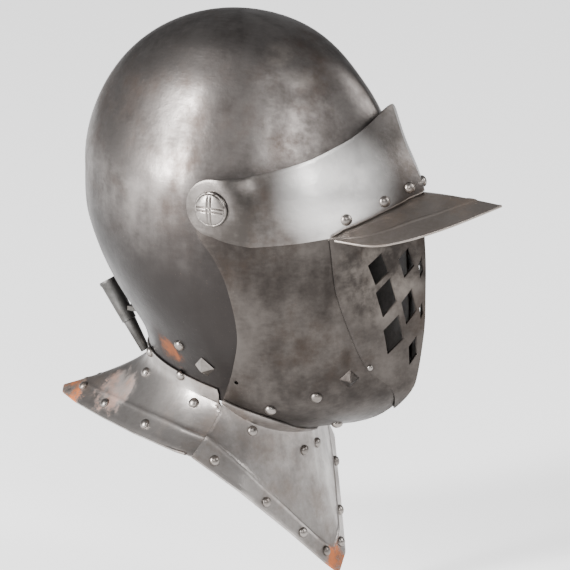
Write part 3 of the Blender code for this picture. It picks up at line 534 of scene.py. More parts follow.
def bevor_rear_y(level):
    side = mask_section(level)[0]
    if side > -BEVOR_LOBE_RADIUS:
        return math.sqrt(max(0.0, BEVOR_LOBE_RADIUS ** 2 - max(0.0, side) ** 2))
    return min(BEVOR_LOBE_RADIUS, faired(BEVOR_REAR_EDGE, side / MASK_DROP, 1) * MASK_REACH)


mask_steel = aged_steel("mask_steel", (0.088, 0.078, 0.071, 1.0), (0.026, 0.022, 0.020, 1.0),
                        (0.032, 0.023, 0.018, 1.0),
                        bare_spots=[(-0.036, -0.105, -0.050, 0.046), (0.036, -0.105, -0.050, 0.046)])

BEVOR_TOP = [
    (0.0, -1.0), (0.10, -1.0), (0.20, -1.0), (0.30, -0.97), (0.40, -0.95), (0.50, -0.94), (0.60, -0.92),
    (0.68, -0.75), (0.74, 0.0), (0.79, 0.65), (0.87, 1.0), (0.95, 0.70), (1.0, 0.10),
]
bevor_rows = []
fractions = [step / 36.0 for step in range(37)]
for row in range(51):
    step = row / 50.0
    line = []
    for fraction in fractions:
        lift = straight(BEVOR_TOP, fraction, 1)
        top = lift * (BEVOR_LOBE_RADIUS if lift > 0.0 else BEVOR_TOP_DROP)
        level = top + (-MASK_DROP - top) * step
        start_x = side_edge_x(level, FACE_LAP) if step < 0.80 else 0.0
        start = depth_for_x(level, start_x)
        depth = mask_depths(level, start, depth_for_y(level, bevor_rear_y(level)), [fraction])[0]
        line.append(mask_shell(level, depth, BEVOR_IN))
    bevor_rows.append(line)
LATCH_HOLES = [(0.0012, -0.1302, 0.0016), (-0.0052, -0.1312, 0.0015)]
hole_rings = []
for y, z, radius in LATCH_HOLES:
    angles = [step * math.pi / 8.0 for step in range(16)]
    hole_rings.append([(y + radius * math.cos(angle), z + radius * math.sin(angle)) for angle in angles])
latch_tool = prism("latch_hole_tool", hole_rings, "X", -MASK_HALF_WIDTH, -MASK_HALF_WIDTH * 0.4)
bevor = forge(half_sheet("bevor_shell", bevor_rows), BEVOR_WALL, [latch_tool])
bevor.data.materials.append(mask_steel)
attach(bevor, "bevor")
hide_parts("bevor_plate")


# Face plate: riveted over the front of the bevor and pierced with lozenges, two large columns and
# two slim ones a side, for sight and breath. Its lower point stands proud of the chin.
SIGHT_HALF_HEIGHT = 0.0145
SIGHT_HALF_WIDTH = 0.0066
SIGHT_SLANT = 0.0020
SIGHT_SHEAR = 0.0040
BROW_DROP = 0.026
FACE_TOP_LAP = 0.008
PIERCINGS = [
    (0.536, -0.252, 0.80, 0.95), (0.446, -0.367, 1.00, 1.00), (0.348, -0.521, 1.00, 1.00),
    (0.232, -0.241, 0.75, 0.80), (0.196, -0.416, 0.90, 0.80), (0.107, -0.597, 0.75, 0.50),
    (0.062, -0.268, 0.55, 0.26), (0.052, -0.440, 0.45, 0.22),
]
BROW_COLUMNS = [
    (0.00, 1.000, 0.154), (0.10, 0.940, 0.077), (0.20, 0.860, -0.060), (0.30, 0.780, -0.192),
    (0.40, 0.700, -0.350), (0.52, 0.620, -0.538), (0.60, 0.560, -0.769), (0.66, 0.515, -0.808),
    (0.74, 0.465, -0.880), (0.82, 0.415, -0.940), (0.90, 0.365, -1.000),
]
face_bottom = FACE_SIDE_EDGE[0][0] * MASK_DROP
face_rows = []
for row in range(49):
    step = 0.992 * row / 48.0
    line = []
    for column in range(25):
        fraction = column / 24.0
        top = straight(BROW_COLUMNS, fraction * 0.62, 2) * BROW_DROP + FACE_TOP_LAP
        level = top + (face_bottom - top) * step
        depth = mask_depths(level, 1.0, depth_for_x(level, side_edge_x(level, 0.0)), [fraction])[0]
        line.append(mask_shell(level, depth, FACE_IN))
    face_rows.append(line)
lozenges = []
for share_x, share_z, size, narrow in PIERCINGS:
    for side in (1.0, -1.0):
        corners = [
            (-SIGHT_SLANT * narrow, SIGHT_HALF_HEIGHT * size),
            (-SIGHT_HALF_WIDTH * narrow, -SIGHT_SHEAR * size),
            (SIGHT_SLANT * narrow, -SIGHT_HALF_HEIGHT * size),
            (SIGHT_HALF_WIDTH * narrow, SIGHT_SHEAR * size),
        ]
        lozenges.append([(side * (share_x * FACE_HALF_WIDTH + a), share_z * MASK_DROP + b)
                         for a, b in corners])
lozenge_tool = prism("lozenge_tool", lozenges, "Y", -MASK_REACH * 1.3, -MASK_REACH * 0.35)
face = forge(half_sheet("face_shell", face_rows), FACE_WALL, [lozenge_tool], edge=0.0, even=False)
face.data.materials.append(mask_steel)
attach(face, "bevor")
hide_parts("face_plate")


# Brow plate: the upper plate of the visor. It stands off the forehead at its point and runs back
# to a round lobe under each rosette.
BROW_RISE = 0.063
BROW_LOBE_RADIUS = 0.020
PEAK_FLANGE = 0.010
# The brow steel carries a painted highlight on each side near its front, where a soft box shines on the
# plate.
brow_steel = aged_steel("brow_steel", (0.19, 0.174, 0.164, 1.0), (0.052, 0.046, 0.042, 1.0),
                        (0.062, 0.046, 0.037, 1.0), rough=0.29,
                        painted_highlights=[(-0.050, -0.074, 0.014, 0.050), (0.050, -0.074, 0.014, 0.050)])
columns = []
for index in range(37):
    share = 0.90 * index / 36.0
    columns.append((share, None, straight(BROW_COLUMNS, share, 1) * BROW_RISE,
                    straight(BROW_COLUMNS, share, 2) * BROW_DROP))
LOBE_COLUMNS = [(-1.00, 0.345, -0.960), (-0.60, 0.330, -0.900), (-0.25, 0.318, -0.830)]
for y_share, top, bottom in LOBE_COLUMNS:
    columns.append((None, y_share * BROW_LOBE_RADIUS, top * BROW_RISE, bottom * BROW_DROP))
for index in range(13):
    reach = min(0.995, math.sin(index / 12.0 * math.pi / 2.0))
    half = BROW_LOBE_RADIUS * math.sqrt(1.0 - reach * reach)
    columns.append((None, reach * BROW_LOBE_RADIUS, half, -half))
brow_rows = [[] for _ in range(19)]
for share, y, top, bottom in columns:
    near_front = 1.0 - smooth(((share if share is not None else 1.0) - 0.64) / 0.22)
    amount = BROW_SIDE_IN + (BROW_FRONT_IN - BROW_SIDE_IN) * near_front
    for row in range(19):
        level = top + (bottom - top) * row / 18.0
        depth = depth_at_share(share, mask_section(level)[4]) if share is not None else depth_for_y(level, y)
        brow_rows[row].append(mask_shell(level, depth, amount))
brow = forge(half_sheet("brow_shell", brow_rows), BROW_WALL)
brow.data.materials.append(brow_steel)
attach(brow, "visor")
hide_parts("brow_plate")


# Peak: a pointed plate over the eyes with a raised line across it. Its upturned flange lies behind
# the brow plate, held by three rivets a side, and its rim is rolled.
PEAK_LENGTH = 0.0625
PEAK_HALF_WIDTH = 0.062
PEAK_RIM_RADIUS = 0.0010
PEAK_RIDGE_INSET = 0.0200
PEAK_RIDGE_HEIGHT = 0.0006
PEAK_OUTLINE = [
    (0.00, 0.000, 1.000, 0.040), (0.10, 0.200, 0.840, 0.110), (0.20, 0.390, 0.660, 0.190),
    (0.30, 0.590, 0.450, 0.270), (0.40, 0.780, 0.210, 0.345), (0.52, 0.950, -0.120, 0.405),
    (0.60, 0.985, -0.540, 0.395),
]
peak_steel = aged_steel("peak_steel", (0.40, 0.36, 0.33, 1.0), (0.20, 0.170, 0.150, 1.0),
                        (0.22, 0.160, 0.120, 1.0), rough=0.34)
peak_root = mask_point(BROW_COLUMNS[0][2] * BROW_DROP, 1.0)
peak_rows = [[] for _ in range(25)]
peak_edge = []
for index in range(31):
    share = 0.60 * index / 30.0
    bottom = straight(BROW_COLUMNS, share, 2) * BROW_DROP
    bend = bottom - PEAK_WALL - 2.0 * PLATE_GAP
    column = []
    for row in range(5):
        level = bottom + PEAK_FLANGE + (bend - bottom - PEAK_FLANGE) * row / 4.0
        column.append(mask_shell(level, depth_at_share(share, mask_section(level)[4]), FLANGE_IN))
    half, reach, drop = (faired(PEAK_OUTLINE, share, place) for place in (1, 2, 3))
    outer = Vector((max(0.0, half) * PEAK_HALF_WIDTH, peak_root.y - reach * PEAK_LENGTH,
                    peak_root.z - drop * PEAK_LENGTH))
    inner = column[-1]
    length = (outer - inner).length
    near = [PEAK_RIDGE_INSET + offset * 0.0007 for offset in (4, 3, 2, 1, 0, -1, -2, -3, -4)]
    scale = min(1.0, 0.5 * length / near[0])
    distances = [length + (near[0] * scale - length) * row / 7.0 for row in range(1, 7)]
    distances += [value * scale for value in near]
    distances += [near[-1] * scale * (1.0 - row / 5.0) for row in range(1, 6)]
    for distance in distances:
        step = 1.0 - distance / length
        point = inner.lerp(outer, step)
        ridge = PEAK_RIDGE_HEIGHT * scale * math.exp(-((distance / scale - PEAK_RIDGE_INSET) / 0.0011) ** 2)
        point.z += 0.0012 * math.sin(step * math.pi) + ridge
        if index == 0:
            point.x = 0.0
        column.append(point)
    peak_edge.append(outer)
    for row, point in zip(peak_rows, column):
        row.append(point)
peak = forge(half_sheet("peak_shell", peak_rows), PEAK_WALL, edge=0.00025)
peak.data.materials.append(peak_steel)
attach(peak, "visor")
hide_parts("peak")


def repeat_tree(name, input_name, material):
    """A node tree with one number as its input, which ends by setting the material."""
    tree = bpy.data.node_groups.new(name, "GeometryNodeTree")
    tree.interface.new_socket("Geometry", in_out="INPUT", socket_type="NodeSocketGeometry")
    number = tree.interface.new_socket(input_name, in_out="INPUT", socket_type="NodeSocketFloat")
    tree.interface.new_socket("Geometry", in_out="OUTPUT", socket_type="NodeSocketGeometry")
    paint = tree.nodes.new("GeometryNodeSetMaterial")
    paint.inputs["Material"].default_value = material
    end = tree.nodes.new("NodeGroupOutput")
    tree.links.new(paint.outputs[0], end.inputs[0])
    return tree, number, tree.nodes.new("NodeGroupInput"), paint


def one_material(item, material):
    item.data.materials.clear()
    item.data.materials.append(material)
    item.data.polygons.foreach_set("material_index", [0] * len(item.data.polygons))


def swept_rim(name, points, radius, material):
    """A rolled edge: Geometry Nodes sweep a round bead along a path of points."""
    mesh = bpy.data.meshes.new(name)
    shape = bmesh.new()
    dots = [shape.verts.new(point + PIVOT) for point in points]
    for first, second in zip(dots, dots[1:]):
        shape.edges.new((first, second))
    shape.to_mesh(mesh)
    shape.free()
    item = bpy.data.objects.new(name, mesh)
    bpy.context.scene.collection.objects.link(item)
    tree, bead, start, paint = repeat_tree(name + "_sweep", "Bead Radius", material)
    path = tree.nodes.new("GeometryNodeMeshToCurve")
    circle = tree.nodes.new("GeometryNodeCurvePrimitiveCircle")
    circle.inputs["Resolution"].default_value = 10
    sweep = tree.nodes.new("GeometryNodeCurveToMesh")
    sweep.inputs["Fill Caps"].default_value = True
    realize = tree.nodes.new("GeometryNodeRealizeInstances")
    tree.links.new(start.outputs["Geometry"], path.inputs[0])
    tree.links.new(start.outputs["Bead Radius"], circle.inputs["Radius"])
    tree.links.new(path.outputs[0], sweep.inputs["Curve"])
    tree.links.new(circle.outputs["Curve"], sweep.inputs["Profile Curve"])
    tree.links.new(sweep.outputs[0], realize.inputs[0])
    tree.links.new(realize.outputs[0], paint.inputs["Geometry"])
    modifier = item.modifiers.new("sweep", "NODES")
    modifier.node_group = tree
    modifier[bead.identifier] = radius
    shape = plain(item, 60.0)
    one_material(shape, material)
    turned_out = bmesh.new()
    turned_out.from_mesh(shape.data)
    bmesh.ops.remove_doubles(turned_out, verts=turned_out.verts, dist=1e-6)
    bmesh.ops.recalc_face_normals(turned_out, faces=turned_out.faces)
    turned_out.to_mesh(shape.data)
    turned_out.free()
    return shape


def both_ways(points):
    """A path on the left half, carried on over the right half."""
    mirrored = [Vector((-point.x, point.y, point.z)) for point in points if point.x > 1e-6]
    return list(reversed(mirrored)) + list(points)


peak_path = [point + Vector((0.0, 0.0, PEAK_WALL * 0.4)) for point in peak_edge]
peak_rim = swept_rim("peak_rim", both_ways(peak_path), PEAK_RIM_RADIUS, peak_steel)
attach(peak_rim, "visor")


# Neck plates: front plate riveted to the bevor, rear plate to the bowl. Each flares from the neck
# to a point, with a rolled edge and a raised line inside it; both points are rusty.
GORGET_BAND = 0.009
FRONT_BAND = 0.0022
FRONT_DROP = 0.1005
FRONT_REACH = 0.022
NECK_HALF_WIDTH = 0.090
REAR_REACH = 0.076
REAR_DROP = 0.0305
SEAM_LAP = 0.04
GORGET_RIM_RADIUS = 0.0012
RAISED_LINE_INSET = 0.0150
FRONT_EDGE = [
    (0.000, 0.000, -1.00, 1.000), (0.070, 0.150, -0.90, 0.900), (0.200, 0.422, -0.15, 0.620),
    (0.360, 0.778, 0.85, 0.270), (0.500, 1.000, 2.10, 0.000),
]
REAR_EDGE = [
    (0.500, 1.000, 0.000, 1.000), (0.580, 0.950, 0.100, 1.000), (0.720, 0.700, 0.400, 1.000),
    (0.840, 0.460, 0.645, 1.000), (0.930, 0.260, 0.850, 0.960), (0.975, 0.120, 0.965, 0.920),
    (1.000, 0.000, 1.000, 0.900),
]
gorget_steel = aged_steel(
    "gorget_steel", (0.44, 0.412, 0.392, 1.0), (0.17, 0.154, 0.144, 1.0), (0.18, 0.138, 0.112, 1.0),
    rust_spots=[(0.0, 0.170, -0.182, 0.046, 0.95), (-0.030, 0.116, -0.163, 0.030, 0.28),
                (0.0, -0.045, -0.283, 0.028, 0.95)])


def edge_point(station):
    if station <= 0.5:
        half, reach, drop = (straight(FRONT_EDGE, station, column) for column in (1, 2, 3))
        neck = mask_point(-MASK_DROP, 1.0)
        side_z = -(NAPE_DROP + REAR_DROP)
        return Vector((half * NECK_HALF_WIDTH, neck.y + reach * FRONT_REACH,
                       side_z + (-MASK_DROP - FRONT_DROP - side_z) * drop))
    half, reach, drop = (straight(REAR_EDGE, station, column) for column in (1, 2, 3))
    front = edge_point(0.5)
    rear_y = bowl_point(-NAPE_DROP, 2.0).y + REAR_REACH
    return Vector((half * NECK_HALF_WIDTH, front.y + (rear_y - front.y) * reach,
                   -NAPE_DROP - REAR_DROP * drop))


def neck_point(station, lift):
    if station <= 0.5:
        level = -MASK_DROP + lift * (FRONT_BAND + (GORGET_BAND - FRONT_BAND) * smooth(station / 0.4))
        return mask_point(level, mask_depths(level, 1.0, depth_for_y(level, bevor_rear_y(level)),
                                             [station / 0.5])[0])
    return bowl_point(-NAPE_DROP + lift * GORGET_BAND, 1.0 + (station - 0.5) / 0.5)


def surface_normal(surface, first, second):
    step = 0.004
    across = surface(first + step, second) - surface(first - step, second)
    lengthwise = surface(first, second + step) - surface(first, second - step)
    normal = across.cross(lengthwise).normalized()
    here = surface(first, second)
    if normal.dot(here - Vector((0.0, 0.0, here.z))) < 0.0:
        normal = -normal
    return normal


def offset_point(surface, first, second, amount):
    inner = min(0.496, max(0.004, first)) if first <= 0.5 else min(0.996, max(0.504, first))
    normal = surface_normal(surface, inner, min(0.9, max(0.1, second)))
    point = surface(first, second)
    if first in (0.0, 1.0):
        flat = Vector((0.0, normal.y, normal.z))
        point = point + flat * (amount / max(0.2, flat.length_squared))
        point.x = 0.0
        return point
    return point + normal * amount


rims = {}


def rim_point(station):
    if station not in rims:
        rims[station] = offset_point(neck_point, station, 0.0, GORGET_IN if station <= 0.5 else NECK_SEAT)
    return rims[station]


def gorget_point(station, share):
    if share <= 0.0:
        return offset_point(neck_point, station, -share, GORGET_IN if station <= 0.5 else NECK_SEAT)
    low = rim_point(station)
    edge = edge_point(station)
    flat = share ** 1.45
    return Vector((low.x + (edge.x - low.x) * flat, low.y + (edge.y - low.y) * flat,
                   low.z + (edge.z - low.z) * share))


def under_point(station, share):
    point = gorget_point(station, share)
    near_seam = 1.0 - smooth((station - 0.5) / 0.12)
    if share <= 0.0 or near_seam <= 0.0:
        return point
    inner = min(0.98, station) if station > 0.5 else min(0.49, station)
    normal = surface_normal(gorget_point, inner, min(0.9, max(0.15, share)))
    return point - normal * ((GORGET_WALL + NECK_GAP) * near_seam)


def gorget_grid(front):
    """Rows crowd together at the raised line, which follows the edge at a set distance."""
    near_edge = [0.0, 0.003, 0.006, 0.009, 0.0115, 0.0130, 0.0141, 0.0150, 0.0159, 0.0170, 0.0190]
    steps = [-1.0, -0.5, 0.0] + [row / 16.0 for row in range(1, 17)] + list(range(11))
    rows = []
    count = 40
    for place, step in enumerate(steps):
        line = []
        for index in range(count + 1):
            if front:
                station = 0.5 * index / count
            else:
                shift = step if place < 19 else 1.0
                start = 0.5 - SEAM_LAP * min(1.0, max(-0.25, (shift - 0.12) / 0.18))
                station = start + (1.0 - start) * index / count
                if index == count:
                    station = 1.0
            width = (edge_point(station) - rim_point(station)).length
            bound = 1.0 - near_edge[-1] / width
            if place < 3:
                share = step
            elif place < 19:
                share = bound * step * 0.985
            else:
                share = 1.0 - near_edge[10 - step] / width
            point = gorget_point(station, share) if front else under_point(station, share)
            inset = (1.0 - share) * width
            raised = 0.0005 * math.exp(-((inset - RAISED_LINE_INSET) / 0.0011) ** 2) if place >= 3 else 0.0
            if raised > 1e-6:
                inner = min(0.49, max(0.01, station)) if front else min(0.99, max(0.41, station))
                point = point + surface_normal(gorget_point, inner, min(0.95, share)) * raised
            if station in (0.0, 1.0):
                point.x = 0.0
            line.append(point)
        rows.append(line)
    return rows


front_plate = forge(half_sheet("front_neck_plate", gorget_grid(True)), GORGET_WALL, edge=0.0003)
front_plate.data.materials.append(gorget_steel)
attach(front_plate, "bevor")
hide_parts("front_gorget")
rear_plate = forge(half_sheet("rear_neck_plate", gorget_grid(False)), GORGET_WALL, edge=0.0003)
rear_plate.data.materials.append(gorget_steel)
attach(rear_plate, "bowl")
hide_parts("rear_gorget")

front_path = [edge_point(0.497 * step / 60.0) for step in range(61)]
front_rim = swept_rim("front_neck_rim", both_ways(front_path), GORGET_RIM_RADIUS, gorget_steel)
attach(front_rim, "bevor")
rear_path = [edge_point(0.530 + 0.470 * step / 60.0) for step in range(61)]
rear_path[-1].x = 0.0
rear_rim = swept_rim("rear_neck_rim", list(reversed(both_ways(rear_path[::-1]))), GORGET_RIM_RADIUS,
                     gorget_steel)
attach(rear_rim, "bowl")


# Rivets: round steel heads. Some join plates, and a row along each neck plate's edge is taken to
# have held a lining. Geometry Nodes set one head on each marked place, turned to its plate.
RIVET_RADIUS = 0.0041
RIVET_HEIGHT = 0.0029
rivet_steel = aged_steel("rivet_steel", (0.34, 0.315, 0.295, 1.0), (0.13, 0.115, 0.105, 1.0),
                         (0.15, 0.110, 0.085, 1.0), rough=0.27)


def lathe(name, profile, segments):
    mesh = bpy.data.meshes.new(name)
    shape = bmesh.new()
    rings = []
    for radius, height in profile:
        if radius < 1e-9:
            rings.append([shape.verts.new((0.0, 0.0, height))])
            continue
        ring = []
        for index in range(segments):
            angle = 2.0 * math.pi * index / segments
            ring.append(shape.verts.new((radius * math.cos(angle), radius * math.sin(angle), height)))
        rings.append(ring)
    for upper, lower in zip(rings, rings[1:]):
        for index in range(segments):
            nxt = (index + 1) % segments
            if len(upper) == 1:
                shape.faces.new((upper[0], lower[index], lower[nxt]))
            elif len(lower) == 1:
                shape.faces.new((upper[index], lower[0], upper[nxt]))
            else:
                shape.faces.new((upper[index], lower[index], lower[nxt], upper[nxt]))
    bmesh.ops.recalc_face_normals(shape, faces=shape.faces)
    shape.to_mesh(mesh)
    shape.free()
    item = bpy.data.objects.new(name, mesh)
    bpy.context.scene.collection.objects.link(item)
    return item


head_profile = [(RIVET_RADIUS * math.sin(a * math.pi / 16.0), RIVET_HEIGHT * math.cos(a * math.pi / 16.0))
                for a in range(9)]
head_profile += [(RIVET_RADIUS * 0.98, -0.0007), (0.0, -0.0007)]
head_pattern = lathe("rivet_head_pattern", head_profile, 20)
head_pattern.data.shade_smooth()


def set_heads(name, seats, material):
    """Seats are (place, facing, size); both sides are given."""
    mesh = bpy.data.meshes.new(name)
    mesh.from_pydata([tuple(place + PIVOT) for place, facing, size in seats], [], [])
    mesh.attributes.new("facing", "FLOAT_VECTOR", "POINT")
    mesh.attributes.new("size", "FLOAT", "POINT")
    for index, (place, facing, size) in enumerate(seats):
        mesh.attributes["facing"].data[index].vector = facing
        mesh.attributes["size"].data[index].value = size
    item = bpy.data.objects.new(name, mesh)
    bpy.context.scene.collection.objects.link(item)
    tree, scale_input, start, paint = repeat_tree(name + "_heads", "Head Scale", material)
    points = tree.nodes.new("GeometryNodeMeshToPoints")
    pattern = tree.nodes.new("GeometryNodeObjectInfo")
    pattern.inputs["Object"].default_value = head_pattern
    facing_in = tree.nodes.new("GeometryNodeInputNamedAttribute")
    facing_in.data_type = "FLOAT_VECTOR"
    facing_in.inputs["Name"].default_value = "facing"
    size_in = tree.nodes.new("GeometryNodeInputNamedAttribute")
    size_in.data_type = "FLOAT"
    size_in.inputs["Name"].default_value = "size"
    sized = tree.nodes.new("ShaderNodeMath")
    sized.operation = "MULTIPLY"
    align = tree.nodes.new("FunctionNodeAlignRotationToVector")
    align.axis = "Z"
    spread = tree.nodes.new("GeometryNodeInstanceOnPoints")
    realize = tree.nodes.new("GeometryNodeRealizeInstances")
    tree.links.new(start.outputs["Geometry"], points.inputs["Mesh"])
    tree.links.new(points.outputs[0], spread.inputs["Points"])
    tree.links.new(pattern.outputs["Geometry"], spread.inputs["Instance"])
    tree.links.new(facing_in.outputs[0], align.inputs["Vector"])
    tree.links.new(align.outputs[0], spread.inputs["Rotation"])
    tree.links.new(size_in.outputs[0], sized.inputs[0])
    tree.links.new(start.outputs["Head Scale"], sized.inputs[1])
    tree.links.new(sized.outputs[0], spread.inputs["Scale"])
    tree.links.new(spread.outputs[0], realize.inputs[0])
    tree.links.new(realize.outputs[0], paint.inputs["Geometry"])
    modifier = item.modifiers.new("heads", "NODES")
    modifier.node_group = tree
    modifier[scale_input.identifier] = 1.0
    heads = plain(item, 50.0)
    one_material(heads, material)
    return heads


def mask_seat(level, share, amount):
    depth = depth_at_share(share, mask_section(level)[4])
    point = mask_shell(level, depth, amount)
    return point, (mask_shell(level, depth, amount + 0.001) - point).normalized()


def gorget_seat(station, share):
    surface = under_point if station > 0.5 else gorget_point
    normal = surface_normal(surface, station, share)
    return surface(station, share) + normal * (GORGET_WALL + 0.0002), normal


def bowl_seat(level, turn):
    normal = surface_normal(bowl_point, level, turn)
    return bowl_point(level, turn) + normal * 0.0001, normal


def paired(seats):
    result = []
    for (place, facing), size in seats:
        for side in (-1.0, 1.0):
            result.append((Vector((side * place.x, place.y, place.z)),
                           Vector((side * facing.x, facing.y, facing.z)), size))
    return result


visor_seats = []
for share in (0.508, 0.274, 0.085):
    bottom = straight(BROW_COLUMNS, share, 2) * BROW_DROP
    visor_seats.append((mask_seat(bottom + PEAK_FLANGE * 0.55, share, BROW_FRONT_IN + BROW_WALL), 1.0))
visor_heads = set_heads("visor_rivet_heads", paired(visor_seats), rivet_steel)
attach(visor_heads, "visor")
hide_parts(*["visor_rivet_%d_%s" % (n, s) for n in (1, 2, 3) for s in ("left", "right")])

bevor_seats = [(mask_seat(level * MASK_DROP, share, BEVOR_IN + BEVOR_WALL), 1.0)
               for level, share in ((-0.916, 0.850), (-0.810, 0.665), (-0.950, 0.178))]
bevor_seats.append((mask_seat(-0.661 * MASK_DROP, 0.375, BEVOR_IN + BEVOR_WALL + FACE_WALL + PLATE_GAP),
                    0.52))
for station, share in ((0.340, 0.130), (0.060, 0.150), (0.447, 0.870), (0.278, 0.895), (0.149, 0.905),
                       (0.060, 0.905)):
    bevor_seats.append((gorget_seat(station, share), 0.92))
bevor_heads = set_heads("bevor_rivet_heads", paired(bevor_seats), rivet_steel)
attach(bevor_heads, "bevor")
names = ["bevor_rivet_%d_%s" % (n, s) for n in (1, 2, 3) for s in ("left", "right")]
names += ["face_rivet_left", "face_rivet_right"]
names += ["front_gorget_rivet_%d_%s" % (n, s) for n in (1, 2) for s in ("left", "right")]
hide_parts(*names)

bowl_seats = [(bowl_seat(-0.764 * NAPE_DROP, 1.185), 1.0)]
for station, share in ((0.637, -0.760), (0.817, -0.700), (0.821, 0.230), (0.584, 0.230), (0.965, 0.850),
                       (0.864, 0.860), (0.700, 0.840)):
    bowl_seats.append((gorget_seat(station, share), 0.92))
bowl_heads = set_heads("bowl_rivet_heads", paired(bowl_seats), rivet_steel)
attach(bowl_heads, "bowl")
names = ["rear_gorget_rivet_%d_%s" % (n, s) for n in (1, 2, 3, 4) for s in ("left", "right")]
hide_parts("bowl_rivet_left", "bowl_rivet_right", *names)


# Pyramid studs: four-sided heads, one a side on the bowl and one a side on the bevor.
STUD_HEIGHT = 0.0048


def studs(name, seat, radius, body, nodes, material):
    mesh = bpy.data.meshes.new(name)
    shape = bmesh.new()
    for side in (-1.0, 1.0):
        place = Vector((side * seat[0].x, seat[0].y, seat[0].z)) + PIVOT
        facing = Vector((side * seat[1].x, seat[1].y, seat[1].z))
        turn = facing.to_track_quat("Z", "Y").to_matrix().to_4x4()
        turn.translation = place
        made = bmesh.ops.create_cone(shape, cap_ends=True, segments=4, radius1=radius, radius2=radius * 0.16,
                                     depth=STUD_HEIGHT)
        bmesh.ops.translate(shape, verts=made["verts"], vec=(0.0, 0.0, STUD_HEIGHT / 2.0 - 0.0006))
        bmesh.ops.transform(shape, verts=made["verts"], matrix=turn)
    bmesh.ops.bevel(shape, geom=shape.edges[:], offset=0.00035, segments=2, affect="EDGES")
    bmesh.ops.recalc_face_normals(shape, faces=shape.faces)
    shape.to_mesh(mesh)
    shape.free()
    item = bpy.data.objects.new(name, mesh)
    bpy.context.scene.collection.objects.link(item)
    mesh.shade_smooth()
    mesh.set_sharp_from_angle(angle=math.radians(30.0))
    mesh.materials.append(material)
    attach(item, body)
    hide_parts(*nodes)


bowl_stud_seat = bowl_seat(-0.834 * NAPE_DROP, 1.060)
bowl_stud_seat = (bowl_stud_seat[0] + bowl_stud_seat[1] * 0.0009, bowl_stud_seat[1])
studs("bowl_studs", bowl_stud_seat, 0.0088, "bowl", ["bowl_stud_left", "bowl_stud_right"],
      rivet_steel)
studs("bevor_studs", mask_seat(-0.713 * MASK_DROP, 0.499, BEVOR_IN + BEVOR_WALL + 0.0005), 0.0076, "bevor",
      ["bevor_stud_left", "bevor_stud_right"], mask_steel)


# Rosettes: the domed heads of the pivot bolts, engraved with a cross of doubled lines. The bolt
# runs through visor, bevor and bowl to a flat head inside.
ROSETTE_RADIUS = 0.0125
ROSETTE_HEIGHT = 0.0045
CROSS_SPACING = 0.0013
GROOVE_DEPTH = 0.0008
GROOVE_WIDTH = 0.00045
BOLT_RADIUS = 0.0030
BOLT_HEAD_RADIUS = 0.0062
stack = PIVOT_HALF_WIDTH + BROW_SIDE_IN + BROW_WALL + PLATE_GAP
rosette_mesh = bpy.data.meshes.new("pivot_rosettes")
rosette_shape = bmesh.new()
for side in (-1.0, 1.0):
    size = 56
    grid = []
    for i in range(size + 1):
        line = []
        for j in range(size + 1):
            a = 2.0 * i / size - 1.0
            b = 2.0 * j / size - 1.0
            u = a * math.sqrt(1.0 - b * b / 2.0) * ROSETTE_RADIUS
            v = b * math.sqrt(1.0 - a * a / 2.0) * ROSETTE_RADIUS
            radius = min(1.0, math.hypot(u, v) / ROSETTE_RADIUS)
            height = ROSETTE_HEIGHT * (0.16 + 0.84 * math.sqrt(max(0.0, 1.0 - radius ** 2.3)))
            groove = 0.0
            for across in (u, v):
                for line_at in (-CROSS_SPACING, CROSS_SPACING):
                    groove = max(groove, math.exp(-((across - line_at) / GROOVE_WIDTH) ** 2))
            ring = math.exp(-((radius - 0.90) / 0.028) ** 2) * 0.8
            height -= GROOVE_DEPTH * max(groove * (1.0 if radius < 0.86 else 0.0), ring)
            line.append(rosette_shape.verts.new(PIVOT + Vector((side * (stack + height), u * side, v))))
        grid.append(line)
    for i in range(size):
        for j in range(size):
            rosette_shape.faces.new((grid[i][j], grid[i + 1][j], grid[i + 1][j + 1], grid[i][j + 1]))
    border = [grid[0][j] for j in range(size)] + [grid[i][size] for i in range(size)]
    border += [grid[size][j] for j in range(size, 0, -1)] + [grid[i][0] for i in range(size, 0, -1)]
    low = [rosette_shape.verts.new((PIVOT.x + side * stack, vert.co.y, vert.co.z)) for vert in border]
    for index in range(len(border)):
        nxt = (index + 1) % len(border)
        rosette_shape.faces.new((border[nxt], border[index], low[index], low[nxt]))
    rosette_shape.faces.new(low)
bmesh.ops.recalc_face_normals(rosette_shape, faces=rosette_shape.faces)
rosette_shape.to_mesh(rosette_mesh)
rosette_shape.free()
rosette_mesh.shade_smooth()
rosette_mesh.set_sharp_from_angle(angle=math.radians(50.0))
rosettes = bpy.data.objects.new("pivot_rosettes", rosette_mesh)
bpy.context.scene.collection.objects.link(rosettes)
rosette_mesh.materials.append(rivet_steel)
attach(rosettes, "bowl")
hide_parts("rosette_left", "rosette_right")

inner_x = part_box("rosette_left")[0][0]
bolt_profile = [
    (0.0, stack), (BOLT_RADIUS, stack), (BOLT_RADIUS, inner_x + 0.003),
    (BOLT_HEAD_RADIUS, inner_x + 0.0028), (BOLT_HEAD_RADIUS, inner_x + 0.0009),
    (0.0050, inner_x), (0.0, inner_x),
]
for side, name in ((-1.0, "pivot_bolt_right"), (1.0, "pivot_bolt_left")):
    bolt = lathe(name, bolt_profile, 28)
    turn = Vector((side, 0.0, 0.0)).to_track_quat("Z", "Y").to_matrix().to_4x4()
    turn.translation = PIVOT
    bolt.data.transform(turn)
    bolt.data.shade_smooth()
    bolt.data.set_sharp_from_angle(angle=math.radians(40.0))
    bolt.data.materials.append(rivet_steel)
    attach(bolt, "bowl")


